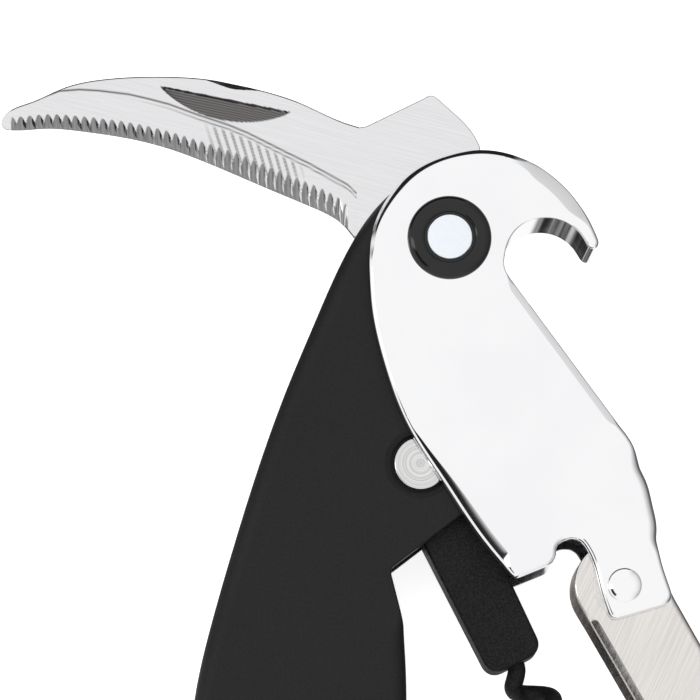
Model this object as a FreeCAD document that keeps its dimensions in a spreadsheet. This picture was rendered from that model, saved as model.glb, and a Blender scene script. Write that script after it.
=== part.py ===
import FreeCAD, Part
import Sketcher
import math
import os
import re

# A two-step lever corkscrew with a bird-head lever, a folding foil cutter and a folding worm.
# Frame: millimetres. The main pivot is the Z axis; the tool lies on its rear side, +Z is the front,
# +X points from the handle's back towards the bottle side, -Y points down the handle.
# The pose is the half-open one: blade out, worm out, lever part way from the handle.

# Driving dimensions, in millimetres and degrees. Each is written once and kept in the sheet.
SIZES = {
    # thicknesses across the tool, rear to front
    "cap_height": 1.2,
    "plate_thickness": 1.8,
    "side_clearance": 0.3,
    "body_thickness": 11.0,
    "blade_thickness": 1.5,
    "blade_side_gap": 0.2,
    "hub_thickness": 6.4,
    "hub_side_gap": 0.2,
    "arm_sheet": 1.0,
    "arm_side_gap": 0.2,
    # overall lengths from the main pivot
    "handle_length": 137.0,
    "worm_pivot_reach": 32.86,
    "first_step_reach": 50.8,
    "blade_reach": 67.0,
    # how far the moving pieces swing
    "blade_swing": 80.0,
    "blade_overtravel": 1.2,
    # main pivot
    "barrel_radius": 2.5,
    "pivot_fit": 0.05,
    "screw_radius": 1.2,
    "pivot_head_edge": 0.5,
    "pivot_head_height": 0.6,
    "eye_ring_radius": 6.1,
    "eye_disc_edge": 0.7,
    "eye_rim_width": 1.4,
    "lever_washer_radius": 5.2,
    "head_radius": 6.2,
    "head_clearance": 0.4,
    "tang_radius": 6.0,
    "blade_washer_radius": 3.3,
    # cap-lifter beak and spine of the lever
    "beak_edge_angle": 36.0,
    "spine_thickness": 1.6,
    # body
    "body_screw_radius": 1.0,
    "body_screw_head": 1.9,
    "body_screw_sink": 1.6,
    "body_screw_bite": 3.5,
    "body_screw_web": 0.6,
    "body_screw_below_face": 0.1,
    "screw_fit": 0.05,
    # blade stop and spring
    "stop_pin_radius": 0.7,
    "stop_pin_track": 4.3,
    "stop_pin_length": 6.0,
    "spring_width": 1.3,
    "spring_pin_radius": 0.8,
    "spring_pin_length": 7.0,
    "spring_boss_radius": 1.7,
    "spring_side_gap": 0.35,
    # worm pivot
    "worm_pin_radius": 2.0,
    "worm_pin_head": 3.83,
    "worm_pin_head_height": 1.2,
    "worm_pin_below_face": 0.1,
    "worm_recess_radius": 5.2,
    "worm_recess_depth": 0.6,
    "bush_radius": 3.0,
    "worm_washer_radius": 4.4,
    # worm and its hub
    "worm_angle": 296.0,
    "hub_length": 32.0,
    "hub_width": 9.6,
    "hub_end_width": 8.6,
    "hub_clearance": 0.6,
    "hub_edge_round": 0.7,
    "wire_radius": 1.3,
    "worm_radius": 2.7,
    "worm_pitch": 9.0,
    "worm_turns": 4.5,
    "worm_tip_length": 5.0,
    "shank_radius": 1.6,
    "shank_length": 12.0,
    "roll_pin_radius": 0.6,
    # second step
    "arm_angle": 297.0,
    "arm_length": 39.0,
    "arm_inner_side": 6.8,
    "arm_outer_side": 5.6,
    "arm_flare": 1.6,
    "arm_lip_reach": 3.2,
    "arm_lip_height": 3.0,
    "rivet_radius": 1.9,
    "rivet_head_radius": 2.5,
    "rivet_head_height": 0.8,
    "rivet_washer_radius": 4.4,
}

# Lengths that the outlines below are drawn for; each outline follows its own driving dimension.
DRAWN_WORM_REACH = 32.86
DRAWN_STEP_REACH = 50.8
DRAWN_BLADE_REACH = 67.0
DRAWN_HANDLE = 137.0
HANDLE_START = -56.0

doc = FreeCAD.newDocument("lever_corkscrew")
sheet = doc.addObject("Spreadsheet::Sheet", "Sizes")
for row, (name, number) in enumerate(SIZES.items(), start=1):
    sheet.set("A%d" % row, name)
    sheet.set("B%d" % row, str(number))
    sheet.setAlias("B%d" % row, name)
doc.recompute()


def size(name):
    """The number that the sheet holds under this name."""
    return float(sheet.get(name))


def formula(text):
    """The same formula with each size's name pointing at its cell."""
    return re.sub(r"[a-z]+(_[a-z]+)+", lambda word: "Sizes." + word.group(0), text)


# Heights measured from the middle plane of the tool, as formulas over the sheet.
HALF_BODY = "body_thickness / 2"
HALF_GAP = "(body_thickness / 2 + side_clearance)"
HALF_LEVER = "(body_thickness / 2 + side_clearance + plate_thickness)"
MIDDLE = "cap_height + plate_thickness + side_clearance + body_thickness / 2"

half_body = size("body_thickness") / 2
half_gap = half_body + size("side_clearance")
half_lever = half_gap + size("plate_thickness")
middle = size("cap_height") + half_lever


def polar(radius, degrees, centre=(0.0, 0.0)):
    """The point at this radius and angle about a centre."""
    turn = math.radians(degrees)
    return (centre[0] + radius * math.cos(turn), centre[1] + radius * math.sin(turn))


def turned(points, degrees):
    """The points turned about the main pivot."""
    turn = math.radians(degrees)
    cosine = math.cos(turn)
    sine = math.sin(turn)
    return [(x * cosine - y * sine, x * sine + y * cosine) for x, y in points]


def grown(points, factor):
    """The points scaled about the main pivot."""
    return [(x * factor, y * factor) for x, y in points]


body_scale = size("worm_pivot_reach") / DRAWN_WORM_REACH
lever_scale = size("first_step_reach") / DRAWN_STEP_REACH
blade_scale = size("blade_reach") / DRAWN_BLADE_REACH
worm_pivot = (-4.1 * body_scale, -32.6 * body_scale)
step_pivot = (25.2 * lever_scale, -50.4 * lever_scale)


def handle(points):
    """Points of the body: the upper part follows the worm pivot, the rest the handle's length."""
    start = HANDLE_START * body_scale
    stretch = (size("handle_length") + start) / (DRAWN_HANDLE + HANDLE_START)
    placed = []
    for x, y in points:
        if y >= HANDLE_START:
            placed.append((x * body_scale, y * body_scale))
        else:
            placed.append((x * body_scale, start + (y - HANDLE_START) * stretch))
    return placed


# ---------------------------------------------------------------- helpers for bodies and sketches

def new_body(label):
    """A body whose own XY plane is the middle plane of the tool."""
    body = doc.addObject("PartDesign::Body", label)
    body.Label = label
    body.setExpression("Placement.Base.z", formula(MIDDLE))
    return body


def new_sketch(body, name, height=None):
    """A sketch on the body's XY plane, or above it by a formula."""
    sketch = body.newObject("Sketcher::SketchObject", body.Name + "_" + name)
    plane = [item for item in body.Origin.OriginFeatures if item.Role == "XY_Plane"][0]
    sketch.AttachmentSupport = [(plane, "")]
    sketch.MapMode = "FlatFace"
    if height is not None:
        sketch.setExpression("AttachmentOffset.Base.z", formula(height))
    return sketch


def flat(point):
    """A point of a sketch as a vector."""
    return FreeCAD.Vector(point[0], point[1], 0)


def add_outline(sketch, strokes):
    """Draws a closed outline: each stroke is ('line' | 'arc' | 'curve', its points)."""
    for kind, points in strokes:
        vectors = [flat(point) for point in points]
        if kind == "line":
            for start, end in zip(vectors, vectors[1:]):
                sketch.addGeometry(Part.LineSegment(start, end), False)
        elif kind == "arc":
            sketch.addGeometry(Part.Arc(*vectors), False)
        else:
            curve = Part.BSplineCurve()
            curve.interpolate(vectors)
            sketch.addGeometry(curve, False)


def add_circle(sketch, centre, radius):
    """A circle at a point whose radius is a formula over the sheet."""
    index = sketch.addGeometry(Part.Circle(flat(centre), FreeCAD.Vector(0, 0, 1), 1.0), False)
    if centre == (0.0, 0.0):
        sketch.addConstraint(Sketcher.Constraint("Coincident", index, 3, -1, 1))
    else:
        sketch.addConstraint(Sketcher.Constraint("DistanceX", -1, 1, index, 3, centre[0]))
        sketch.addConstraint(Sketcher.Constraint("DistanceY", -1, 1, index, 3, centre[1]))
    ring = sketch.addConstraint(Sketcher.Constraint("Radius", index, 1.0))
    sketch.setExpression("Constraints[%d]" % ring, formula(radius))


def pad(body, sketch, name, length, both_ways=True, reversed_way=False):
    """Material from the sketch, by a formula, either side of it or to one side."""
    feature = body.newObject("PartDesign::Pad", body.Name + "_" + name)
    feature.Profile = sketch
    feature.setExpression("Length", formula(length))
    feature.Midplane = both_ways
    feature.Reversed = reversed_way
    return feature


def pocket(body, sketch, name, length, both_ways=True, reversed_way=False):
    """A cut from the sketch, by a formula, either side of it or to one side."""
    feature = body.newObject("PartDesign::Pocket", body.Name + "_" + name)
    feature.Profile = sketch
    feature.setExpression("Length", formula(length))
    feature.Midplane = both_ways
    feature.Reversed = reversed_way
    return feature


def soften(body, name, radius, heights):
    """Rounds the outer rims of the flat faces at these heights over the body's middle plane."""
    doc.recompute()
    base = body.Tip
    rims = []
    for index, edge in enumerate(base.Shape.Edges, start=1):
        box = edge.BoundBox
        level = any(abs(box.ZMin - z) < 1e-4 and abs(box.ZMax - z) < 1e-4 for z in heights)
        if level:
            rims.append("Edge%d" % index)
    feature = body.newObject("PartDesign::Fillet", body.Name + "_" + name)
    feature.Base = (base, rims)
    feature.setExpression("Radius", formula(radius))
    return feature


def revolved(label, profile, centre=(0.0, 0.0)):
    """A turned piece: its half section is (radius, height) points over the middle plane."""
    body = doc.addObject("PartDesign::Body", label)
    body.Label = label
    sketch = body.newObject("Sketcher::SketchObject", label + "_half_section")
    plane = [item for item in body.Origin.OriginFeatures if item.Role == "XZ_Plane"][0]
    sketch.AttachmentSupport = [(plane, "")]
    sketch.MapMode = "FlatFace"
    add_outline(sketch, profile)
    feature = body.newObject("PartDesign::Revolution", label + "_turned")
    feature.Profile = sketch
    feature.ReferenceAxis = (sketch, ["V_Axis"])
    feature.Angle = 360.0
    body.Placement.Base = FreeCAD.Vector(centre[0], centre[1], 0)
    body.setExpression("Placement.Base.z", formula(MIDDLE))
    return body


def closed(points):
    """One stroke of straight lines round these points."""
    return [("line", points + [points[0]])]


def tube(label, inner, outer, height, base, centre=(0.0, 0.0)):
    """A hollow cylinder by formulas: inner and outer radius, height, base over the middle plane."""
    outer_body = doc.addObject("Part::Cylinder", label + "_outside")
    outer_body.setExpression("Radius", formula(outer))
    outer_body.setExpression("Height", formula(height))
    inner_body = doc.addObject("Part::Cylinder", label + "_bore")
    inner_body.setExpression("Radius", formula(inner))
    inner_body.setExpression("Height", formula(height))
    piece = doc.addObject("Part::Cut", label)
    piece.Label = label
    piece.Base = outer_body
    piece.Tool = inner_body
    piece.Placement.Base = FreeCAD.Vector(centre[0], centre[1], 0)
    piece.setExpression("Placement.Base.z", formula(MIDDLE + " + " + base))
    return piece


def pin(label, radius, length, centre):
    """A plain pin by formulas, centred on the middle plane."""
    piece = doc.addObject("Part::Cylinder", label)
    piece.Label = label
    piece.setExpression("Radius", formula(radius))
    piece.setExpression("Height", formula(length))
    piece.Placement.Base = FreeCAD.Vector(centre[0], centre[1], 0)
    piece.setExpression("Placement.Base.z", formula(MIDDLE + " - (" + length + ") / 2"))
    return piece


def group(label, pieces):
    """Several separate solids kept as one sub-part."""
    together = doc.addObject("Part::Compound", label)
    together.Label = label
    together.Links = pieces
    return together


# ---------------------------------------------------------------- outlines

# Foil cutter, drawn open: the spine, the thumb heel, the round tang and the hollow cutting edge.
blade_edge = grown(
    [
        (-13.4, 1.0), (-14.8, 2.7), (-19.8, 5.6), (-26.3, 8.3), (-33.1, 11.2),
        (-40.9, 14.1), (-47.3, 15.6), (-52.2, 16.3), (-58.7, 16.75), (-63.4, 16.5),
    ],
    blade_scale,
)
tang = size("tang_radius")
blade_outline = [
    ("curve", blade_edge),
    ("arc", [blade_edge[-1]] + grown([(-64.9, 17.5), (-64.3, 18.65)], blade_scale)),
    ("curve", grown([
        (-64.3, 18.65), (-60.5, 20.6), (-55.6, 22.8), (-50.7, 23.95), (-42.5, 24.5),
        (-34.4, 24.1), (-27.9, 22.8), (-21.5, 20.85), (-14.4, 17.75),
    ], blade_scale)),
    ("arc", grown([(-14.4, 17.75), (-12.7, 17.25), (-11.1, 17.65)], blade_scale)),
    ("line", grown([(-11.1, 17.65), (-3.1, 21.65)], blade_scale)),
    ("arc", grown([(-3.1, 21.65), (-2.2, 22.0), (-1.4, 21.65)], blade_scale)),
    ("curve", grown([(-1.4, 21.65), (1.5, 19.05), (3.9, 16.35), (4.9, 14.45)], blade_scale)),
    ("curve", grown([(4.9, 14.45), (4.7, 12.6)], blade_scale) + [(3.4, 9.0), polar(tang, 70)]),
    ("arc", [polar(tang, 70), polar(tang, -50), polar(tang, 190)]),
    ("line", [polar(tang, 190), blade_edge[0]]),
]

# Lever: round bird head, hooked beak over the cap mouth, straight spine, flared end with the
# second step's pivot, the notch for the bottle lip and the first step's foot.
lever_strokes = [
    ("curve", [
        (-11.6, -4.6), (-11.3, 0.3), (-9.6, 4.9), (-5.8, 9.6), (-0.2, 12.3),
        (5.3, 13.1), (10.2, 12.1), (16.0, 8.5), (20.2, 3.1), (21.7, -0.2),
    ]),
    ("arc", [(21.7, -0.2), (21.2, -1.4), (20.1, -1.2)]),
    ("curve", [
        (20.1, -1.2), (18.9, 0.8), (16.4, 2.6), (13.4, 3.0), (10.4, 1.9), (8.5, -0.6), (7.9, -3.4),
    ]),
    ("arc", [(7.9, -3.4), (8.1, -4.6), (8.8, -5.7)]),
    ("line", [(8.8, -5.7), (24.6, -27.2)]),
    ("curve", [(24.6, -27.2), (26.5, -29.9), (27.6, -33.3)]),
    ("curve", [(27.6, -33.3), (28.6, -35.4), (29.5, -39.0), (30.0, -41.6), (29.9, -43.7)]),
    ("curve", [(29.9, -43.7), (30.6, -47.0), (31.9, -51.0)]),
    ("arc", [(31.9, -51.0), (31.9, -52.4), (30.8, -53.3)]),
    ("line", [(30.8, -53.3), (24.4, -55.2)]),
    ("arc", [(24.4, -55.2), (23.4, -55.2), (22.9, -54.6)]),
    ("curve", [(22.9, -54.6), (21.6, -50.6), (20.4, -46.3), (19.4, -44.5)]),
    ("arc", [(19.4, -44.5), (18.5, -43.8), (17.4, -43.7)]),
    ("arc", [(17.4, -43.7), (16.1, -44.1), (15.3, -45.1)]),
    ("arc", [(15.3, -45.1), (15.2, -46.6), (14.3, -47.5)]),
    ("line", [(14.3, -47.5), (9.9, -49.3)]),
    ("arc", [(9.9, -49.3), (9.3, -49.4), (8.8, -49.0)]),
    ("curve", [
        (8.8, -49.0), (4.4, -43.7), (-1.4, -35.0), (-6.0, -27.6), (-9.6, -18.0),
        (-11.2, -10.8), (-11.6, -4.6),
    ]),
]
lever_outline = [(kind, grown(points, lever_scale)) for kind, points in lever_strokes]

# Body: back edge, tail, front edge, the notch that lets the hub swing, and the small round head.
head = size("head_radius")
body_outline = [
    ("arc", [polar(head, 75), polar(head, 10), polar(head, -50)]),
    ("curve", [polar(head, -50)] + handle([
        (3.4, -8.0), (4.6, -15.0), (5.9, -24.0), (5.4, -33.0), (2.0, -39.9),
    ])),
    ("line", handle([(2.0, -39.9), (-8.5, -48.0), (-6.5, -55.9)])),
    ("curve", handle([
        (-6.5, -55.9), (-6.1, -63.0), (-6.2, -77.0), (-7.0, -92.0), (-9.4, -106.0),
        (-12.0, -118.0), (-14.6, -128.5),
    ])),
    ("arc", handle([(-14.6, -128.5), (-21.8, -137.0), (-28.6, -128.5)])),
    ("curve", handle([
        (-28.6, -128.5), (-31.4, -117.5), (-34.2, -104.0), (-36.4, -91.0), (-37.2, -78.0),
        (-36.4, -66.0), (-34.2, -55.9), (-31.6, -46.6), (-27.9, -34.5), (-23.1, -21.0),
        (-19.7, -12.8), (-16.8, -6.0), (-14.2, -0.7), (-10.1, 5.3), (-5.3, 9.7),
    ])),
    ("curve", handle([(-5.3, 9.7), (-3.4, 10.2), (-1.2, 9.0)]) + [polar(head, 75)]),
]

# Slot for the folded blade: its cutting edge turned a little past the folded place, open behind.
folded = size("blade_swing") + size("blade_overtravel")
slot_edge = turned(blade_edge, folded)
slot_end = turned([(-68.0 * blade_scale, 17.2 * blade_scale)], folded)[0]
tang_slot = head + 0.2
far_left = 60.0 * max(blade_scale, body_scale)
blade_slot_outline = [
    ("arc", [polar(tang_slot, 55), polar(tang_slot, 0), polar(tang_slot, 275)]),
    ("line", [polar(tang_slot, 275), slot_edge[0]]),
    ("curve", slot_edge),
    ("line", [slot_edge[-1], slot_end, (-far_left, slot_end[1] + 8.0), (-far_left, 24.0),
              (12.0, 24.0), polar(tang_slot, 55)]),
]

# Slot for the worm hub: round about its pivot, open to the notch and to the front edge.
hub_half = size("hub_width") / 2
hub_round = hub_half + size("hub_clearance")
slot_side = polar(hub_round, 54, worm_pivot)
slot_reach = 18.0 * body_scale
notch_corner = handle([(-8.5, -48.0)])[0]
hub_slot_outline = [
    ("arc", [polar(hub_round, 186, worm_pivot), polar(hub_round, 120, worm_pivot), slot_side]),
    ("line", [
        slot_side,
        (slot_side[0] + slot_reach * 0.809, slot_side[1] - slot_reach * 0.588),
        (slot_side[0] + slot_reach * 0.809, notch_corner[1] - 6.0),
        (notch_corner[0] + 4.0, notch_corner[1] - 1.0),
        notch_corner,
        polar(hub_round, 186, worm_pivot),
    ]),
]

# Blade spring: a bar from its pin up to the round tang.
spring_pin = handle([(-2.8, -22.0)])[0]
spring_top = tang + size("pivot_fit")
spring_bar = size("spring_width")


def spring_strokes(extra):
    """The spring's bar, wider all round by the extra."""
    top = spring_top - 2 * extra
    left = 0.7 - extra
    right = 0.7 + spring_bar + extra
    elbow = handle([(0.0, -13.4)])[0][1]
    foot = (spring_pin[0], spring_pin[1])
    return closed([
        (left, -math.sqrt(top ** 2 - left ** 2)),
        (left, elbow),
        (foot[0] - spring_bar / 2 - extra, foot[1] + 0.6),
        (foot[0] + spring_bar / 2 + extra, foot[1] - 0.2),
        (right, elbow - 1.0),
        (right, -math.sqrt(top ** 2 - right ** 2)),
    ])


stop_pin = (0.0, -size("stop_pin_track"))
body_screw_places = handle([(2.7, -18.0), (-15.0, -50.0), (-13.5, -90.0), (-21.4, -126.0)])


# ---------------------------------------------------------------- body halves and their screws

def body_half(label, side):
    """One half casting; side is 1 for the front half and -1 for the rear half."""
    body = new_body(label)
    outline = new_sketch(body, "outline")
    add_outline(outline, body_outline)
    pad(body, outline, "casting", HALF_BODY, False, side < 0)
    cuts = [
        ("blade_slot", blade_slot_outline, "blade_thickness / 2 + blade_side_gap"),
        ("hub_slot", hub_slot_outline, "hub_thickness / 2 + hub_side_gap"),
        ("spring_slot", spring_strokes(size("spring_side_gap")), "blade_thickness / 2 + blade_side_gap"),
    ]
    for name, strokes, depth in cuts:
        sketch = new_sketch(body, name)
        add_outline(sketch, strokes)
        pocket(body, sketch, name + "_cut", depth, False, side > 0)
    rounds = [
        ("pivot_bore", (0.0, 0.0), "barrel_radius + pivot_fit", HALF_BODY),
        ("worm_bore", worm_pivot, "worm_pin_radius + pivot_fit", HALF_BODY),
        ("stop_bore", stop_pin, "stop_pin_radius + screw_fit", "stop_pin_length / 2 + screw_fit"),
        ("spring_bore", spring_pin, "spring_pin_radius + screw_fit",
         "spring_pin_length / 2 + screw_fit"),
        ("spring_boss", spring_pin, "spring_boss_radius + spring_side_gap",
         "blade_thickness / 2 + blade_side_gap"),
    ]
    for name, centre, radius, depth in rounds:
        sketch = new_sketch(body, name)
        add_circle(sketch, centre, radius)
        pocket(body, sketch, name + "_cut", depth, False, side > 0)
    sink = new_sketch(body, "worm_head_sink", HALF_BODY if side > 0 else "-" + HALF_BODY)
    add_circle(sink, worm_pivot, "worm_pin_head + pivot_fit")
    depth = "worm_pin_head_height + worm_pin_below_face + pivot_fit"
    pocket(body, sink, "worm_head_sink_cut", depth, False, side < 0)
    screws = new_sketch(body, "screw_holes")
    for place in body_screw_places:
        add_circle(screws, place, "body_screw_radius + screw_fit")
    through = "body_screw_bite + screw_fit" if side > 0 else HALF_BODY
    pocket(body, screws, "screw_holes_cut", through, False, side > 0)
    if side < 0:
        heads = new_sketch(body, "screw_heads", "-" + HALF_BODY)
        for place in body_screw_places:
            add_circle(heads, place, "body_screw_head + screw_fit")
        pocket(body, heads, "screw_heads_cut", "body_screw_sink", False, True)
    bevel(body, side)
    return body


def bevel(body, side):
    """The wide chamfer round the worm pin's recess."""
    doc.recompute()
    base = body.Tip
    radius = size("worm_pin_head") + size("pivot_fit")
    height = side * half_body
    centre = FreeCAD.Vector(worm_pivot[0], worm_pivot[1], height)
    rims = []
    for index, edge in enumerate(base.Shape.Edges, start=1):
        circle = edge.Curve
        if circle.TypeId != "Part::GeomCircle" or abs(circle.Radius - radius) > 1e-6:
            continue
        if circle.Center.distanceToPoint(centre) < 1e-3:
            rims.append("Edge%d" % index)
    chamfer = body.newObject("PartDesign::Chamfer", body.Name + "_recess_bevel")
    chamfer.Base = (base, rims)
    chamfer.setExpression("Size", formula("worm_recess_depth"))
    return chamfer


front_half = body_half("front_body_half", 1)
rear_half = body_half("rear_body_half", -1)

screw_solids = []
for number, place in enumerate(body_screw_places, start=1):
    shaft = doc.addObject("Part::Cylinder", "body_screw_shaft_%d" % number)
    shaft.setExpression("Radius", formula("body_screw_radius"))
    shaft.setExpression(
        "Height",
        formula("body_thickness / 2 + body_screw_bite - body_screw_sink + body_screw_web"),
    )
    shaft.Placement.Base = FreeCAD.Vector(place[0], place[1], 0)
    shaft.setExpression(
        "Placement.Base.z",
        formula(MIDDLE + " - body_thickness / 2 + body_screw_sink - body_screw_web"),
    )
    top = doc.addObject("Part::Cylinder", "body_screw_head_%d" % number)
    top.setExpression("Radius", formula("body_screw_head"))
    top.setExpression("Height", formula("body_screw_sink - body_screw_below_face"))
    top.Placement.Base = FreeCAD.Vector(place[0], place[1], 0)
    top.setExpression(
        "Placement.Base.z", formula(MIDDLE + " - body_thickness / 2 + body_screw_below_face")
    )
    socket = doc.addObject("Part::Prism", "body_screw_socket_%d" % number)
    socket.Polygon = 6
    socket.setExpression("Circumradius", formula("body_screw_head / 2"))
    socket.setExpression("Height", formula("body_screw_sink / 2"))
    socket.Placement.Base = FreeCAD.Vector(place[0], place[1], 0)
    socket.setExpression("Placement.Base.z", formula(MIDDLE + " - body_thickness / 2"))
    whole = doc.addObject("Part::Fuse", "body_screw_blank_%d" % number)
    whole.Base = top
    whole.Tool = shaft
    screw = doc.addObject("Part::Cut", "body_screw_%d" % number)
    screw.Base = whole
    screw.Tool = socket
    screw_solids.append(screw)
body_screws = group("body_screws", screw_solids)

# ---------------------------------------------------------------- foil cutter

blade = new_body("blade")
blade_sketch = new_sketch(blade, "outline")
add_outline(blade_sketch, blade_outline)
add_circle(blade_sketch, (0.0, 0.0), "barrel_radius + pivot_fit")
pad(blade, blade_sketch, "plate", "blade_thickness")
track = size("stop_pin_track")
half_track = size("stop_pin_radius") + size("screw_fit")
sweep = -90.0 - size("blade_swing")
track_sketch = new_sketch(blade, "stop_track")
add_outline(track_sketch, [
    ("arc", [polar(track + half_track, -90), polar(track + half_track, -90 + sweep / 2 + 45),
             polar(track + half_track, sweep)]),
    ("arc", [polar(track + half_track, sweep), polar(half_track, sweep - 90, polar(track, sweep)),
             polar(track - half_track, sweep)]),
    ("arc", [polar(track - half_track, sweep), polar(track - half_track, -90 + sweep / 2 + 45),
             polar(track - half_track, -90)]),
    ("arc", [polar(track - half_track, -90), polar(half_track, 0, polar(track, -90)),
             polar(track + half_track, -90)]),
])
pocket(blade, track_sketch, "stop_track_cut", "blade_thickness * 2")

blade_washers = group("blade_washers", [
    tube("blade_washer_front", "barrel_radius + pivot_fit", "blade_washer_radius",
         "blade_side_gap", "blade_thickness / 2"),
    tube("blade_washer_rear", "barrel_radius + pivot_fit", "blade_washer_radius",
         "blade_side_gap", "(0 - blade_thickness / 2 - blade_side_gap)"),
])
blade_stop = pin("blade_stop_pin", "stop_pin_radius", "stop_pin_length", stop_pin)

spring = new_body("blade_spring")
spring_sketch = new_sketch(spring, "bar")
add_outline(spring_sketch, spring_strokes(0.0))
pad(spring, spring_sketch, "bar_plate", "blade_thickness")
boss_sketch = new_sketch(spring, "boss")
add_circle(boss_sketch, spring_pin, "spring_boss_radius")
pad(spring, boss_sketch, "boss_plate", "blade_thickness")
eye_sketch = new_sketch(spring, "eye")
add_circle(eye_sketch, spring_pin, "spring_pin_radius + screw_fit")
pocket(spring, eye_sketch, "eye_cut", "blade_thickness * 2")
spring_anchor = pin("blade_spring_pin", "spring_pin_radius", "spring_pin_length", spring_pin)

# ---------------------------------------------------------------- lever

lever = new_body("lever")
lever_sketch = new_sketch(lever, "outline")
add_outline(lever_sketch, lever_outline)
pad(lever, lever_sketch, "casting", "2 * " + HALF_LEVER)

# The space between the two plates: round about the body's head, closed by the beak and the spine.
inner_round = head + size("head_clearance")
spine_start = grown([(8.8, -5.7)], lever_scale)[0]
spine_end = grown([(24.6, -27.2)], lever_scale)[0]
spine_length = math.dist(spine_start, spine_end)
along = (
    (spine_end[0] - spine_start[0]) / spine_length,
    (spine_end[1] - spine_start[1]) / spine_length,
)
inward = (along[1], -along[0])
spine_wall = size("spine_thickness")
foot_point = (spine_start[0] + inward[0] * spine_wall, spine_start[1] + inward[1] * spine_wall)
last_point = (spine_end[0] + inward[0] * spine_wall, spine_end[1] + inward[1] * spine_wall)
back_along = foot_point[0] * along[0] + foot_point[1] * along[1]
off_axis = abs(foot_point[0] * along[1] - foot_point[1] * along[0])
meet = back_along - math.sqrt(inner_round ** 2 - off_axis ** 2)
meeting = (foot_point[0] - along[0] * meet, foot_point[1] - along[1] * meet)
meeting_angle = math.degrees(math.atan2(meeting[1], meeting[0]))
beak_edge = size("beak_edge_angle")
outside = 70.0 * lever_scale
gap_sketch = new_sketch(lever, "gap")
add_outline(gap_sketch, [
    ("arc", [polar(inner_round, beak_edge), polar(inner_round, 0), polar(inner_round, meeting_angle)]),
    ("line", [
        polar(inner_round, meeting_angle), last_point,
        (last_point[0] - inward[0] * 12.0, last_point[1] - inward[1] * 12.0),
        (outside, -outside), (-outside, -outside), (-outside, outside),
        polar(outside, beak_edge), polar(inner_round, beak_edge),
    ]),
])
pocket(lever, gap_sketch, "gap_cut", "2 * " + HALF_GAP)
holes = new_sketch(lever, "holes")
add_circle(holes, (0.0, 0.0), "barrel_radius + pivot_fit")
add_circle(holes, step_pivot, "rivet_radius + pivot_fit")
pocket(lever, holes, "holes_cut", "4 * " + HALF_LEVER)

lever_washers = group("lever_washers", [
    tube("lever_washer_front", "barrel_radius + pivot_fit", "lever_washer_radius",
         "side_clearance", HALF_BODY),
    tube("lever_washer_rear", "barrel_radius + pivot_fit", "lever_washer_radius",
         "side_clearance", "(0 - body_thickness / 2 - side_clearance)"),
])

# ---------------------------------------------------------------- main pivot and its eye caps

barrel = size("barrel_radius")
thread = size("screw_radius") + size("screw_fit")
head_out = barrel + size("pivot_head_edge")
head_high = half_lever + size("pivot_head_height")
pivot_barrel = revolved("main_pivot_barrel", closed([
    (thread, half_lever), (barrel, half_lever), (barrel, -half_lever), (head_out, -half_lever),
    (head_out, -head_high), (0.0, -head_high), (0.0, -half_lever), (thread, -half_lever),
]))
screw_end = -half_lever / 3
pivot_screw = revolved("main_pivot_screw", closed([
    (0.0, head_high), (head_out, head_high), (head_out, half_lever),
    (size("screw_radius"), half_lever), (size("screw_radius"), screw_end), (0.0, screw_end),
]))


def eye_ring(label, side):
    """A ring with a raised round rim about a flat zone, seated on a plate of the lever."""
    inner = barrel + size("eye_disc_edge") + size("pivot_fit")
    outer = size("eye_ring_radius")
    rim = size("eye_rim_width")
    top = half_lever + size("cap_height")
    low = top - 0.3
    skirt = half_lever + 0.35

    def at(radius, height):
        return (radius, side * height)

    return revolved(label, [
        ("line", [at(inner, half_lever), at(inner, low), at(outer - rim, low)]),
        ("arc", [at(outer - rim, low), at(outer - rim + 0.12, low + 0.2), at(outer - rim + 0.4, top)]),
        ("line", [at(outer - rim + 0.4, top), at(outer - 0.6, top)]),
        ("arc", [at(outer - 0.6, top), at(outer - 0.14, top - 0.28), at(outer, skirt)]),
        ("line", [at(outer, skirt), at(outer, half_lever), at(inner, half_lever)]),
    ])


front_ring = eye_ring("front_eye_ring", 1)
rear_ring = eye_ring("rear_eye_ring", -1)
disc_thickness = "cap_height - pivot_head_height"
discs = []
for label, base in [
    ("front_eye_disc", HALF_LEVER + " + pivot_head_height"),
    ("rear_eye_disc", "(0 - " + HALF_LEVER + " - cap_height)"),
]:
    disc = doc.addObject("Part::Cylinder", label)
    disc.Label = label
    disc.setExpression("Radius", formula("barrel_radius + eye_disc_edge"))
    disc.setExpression("Height", formula(disc_thickness))
    disc.setExpression("Placement.Base.z", formula(MIDDLE + " + " + base))
    discs.append(disc)

# ---------------------------------------------------------------- worm pivot

pin_r = size("worm_pin_radius")
pin_head = size("worm_pin_head")
pin_top = half_body - size("worm_pin_below_face")
pin_under = pin_top - size("worm_pin_head_height")
edge_cut = 0.25
worm_pin = revolved("worm_pivot_pin", closed([
    (0.0, pin_top), (pin_head - edge_cut, pin_top), (pin_head, pin_top - edge_cut),
    (pin_head, pin_under), (pin_r, pin_under), (pin_r, -pin_under), (pin_head, -pin_under),
    (pin_head, edge_cut - pin_top), (pin_head - edge_cut, -pin_top), (0.0, -pin_top),
]), worm_pivot)
worm_bush = tube("worm_pivot_bush", "worm_pin_radius + pivot_fit", "bush_radius",
                 "hub_thickness", "(0 - hub_thickness / 2)", worm_pivot)
worm_washers = group("worm_washers", [
    tube("worm_washer_front", "worm_pin_radius + pivot_fit", "worm_washer_radius",
         "hub_side_gap", "hub_thickness / 2", worm_pivot),
    tube("worm_washer_rear", "worm_pin_radius + pivot_fit", "worm_washer_radius",
         "hub_side_gap", "(0 - hub_thickness / 2 - hub_side_gap)", worm_pivot),
])

# ---------------------------------------------------------------- worm hub and worm

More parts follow.
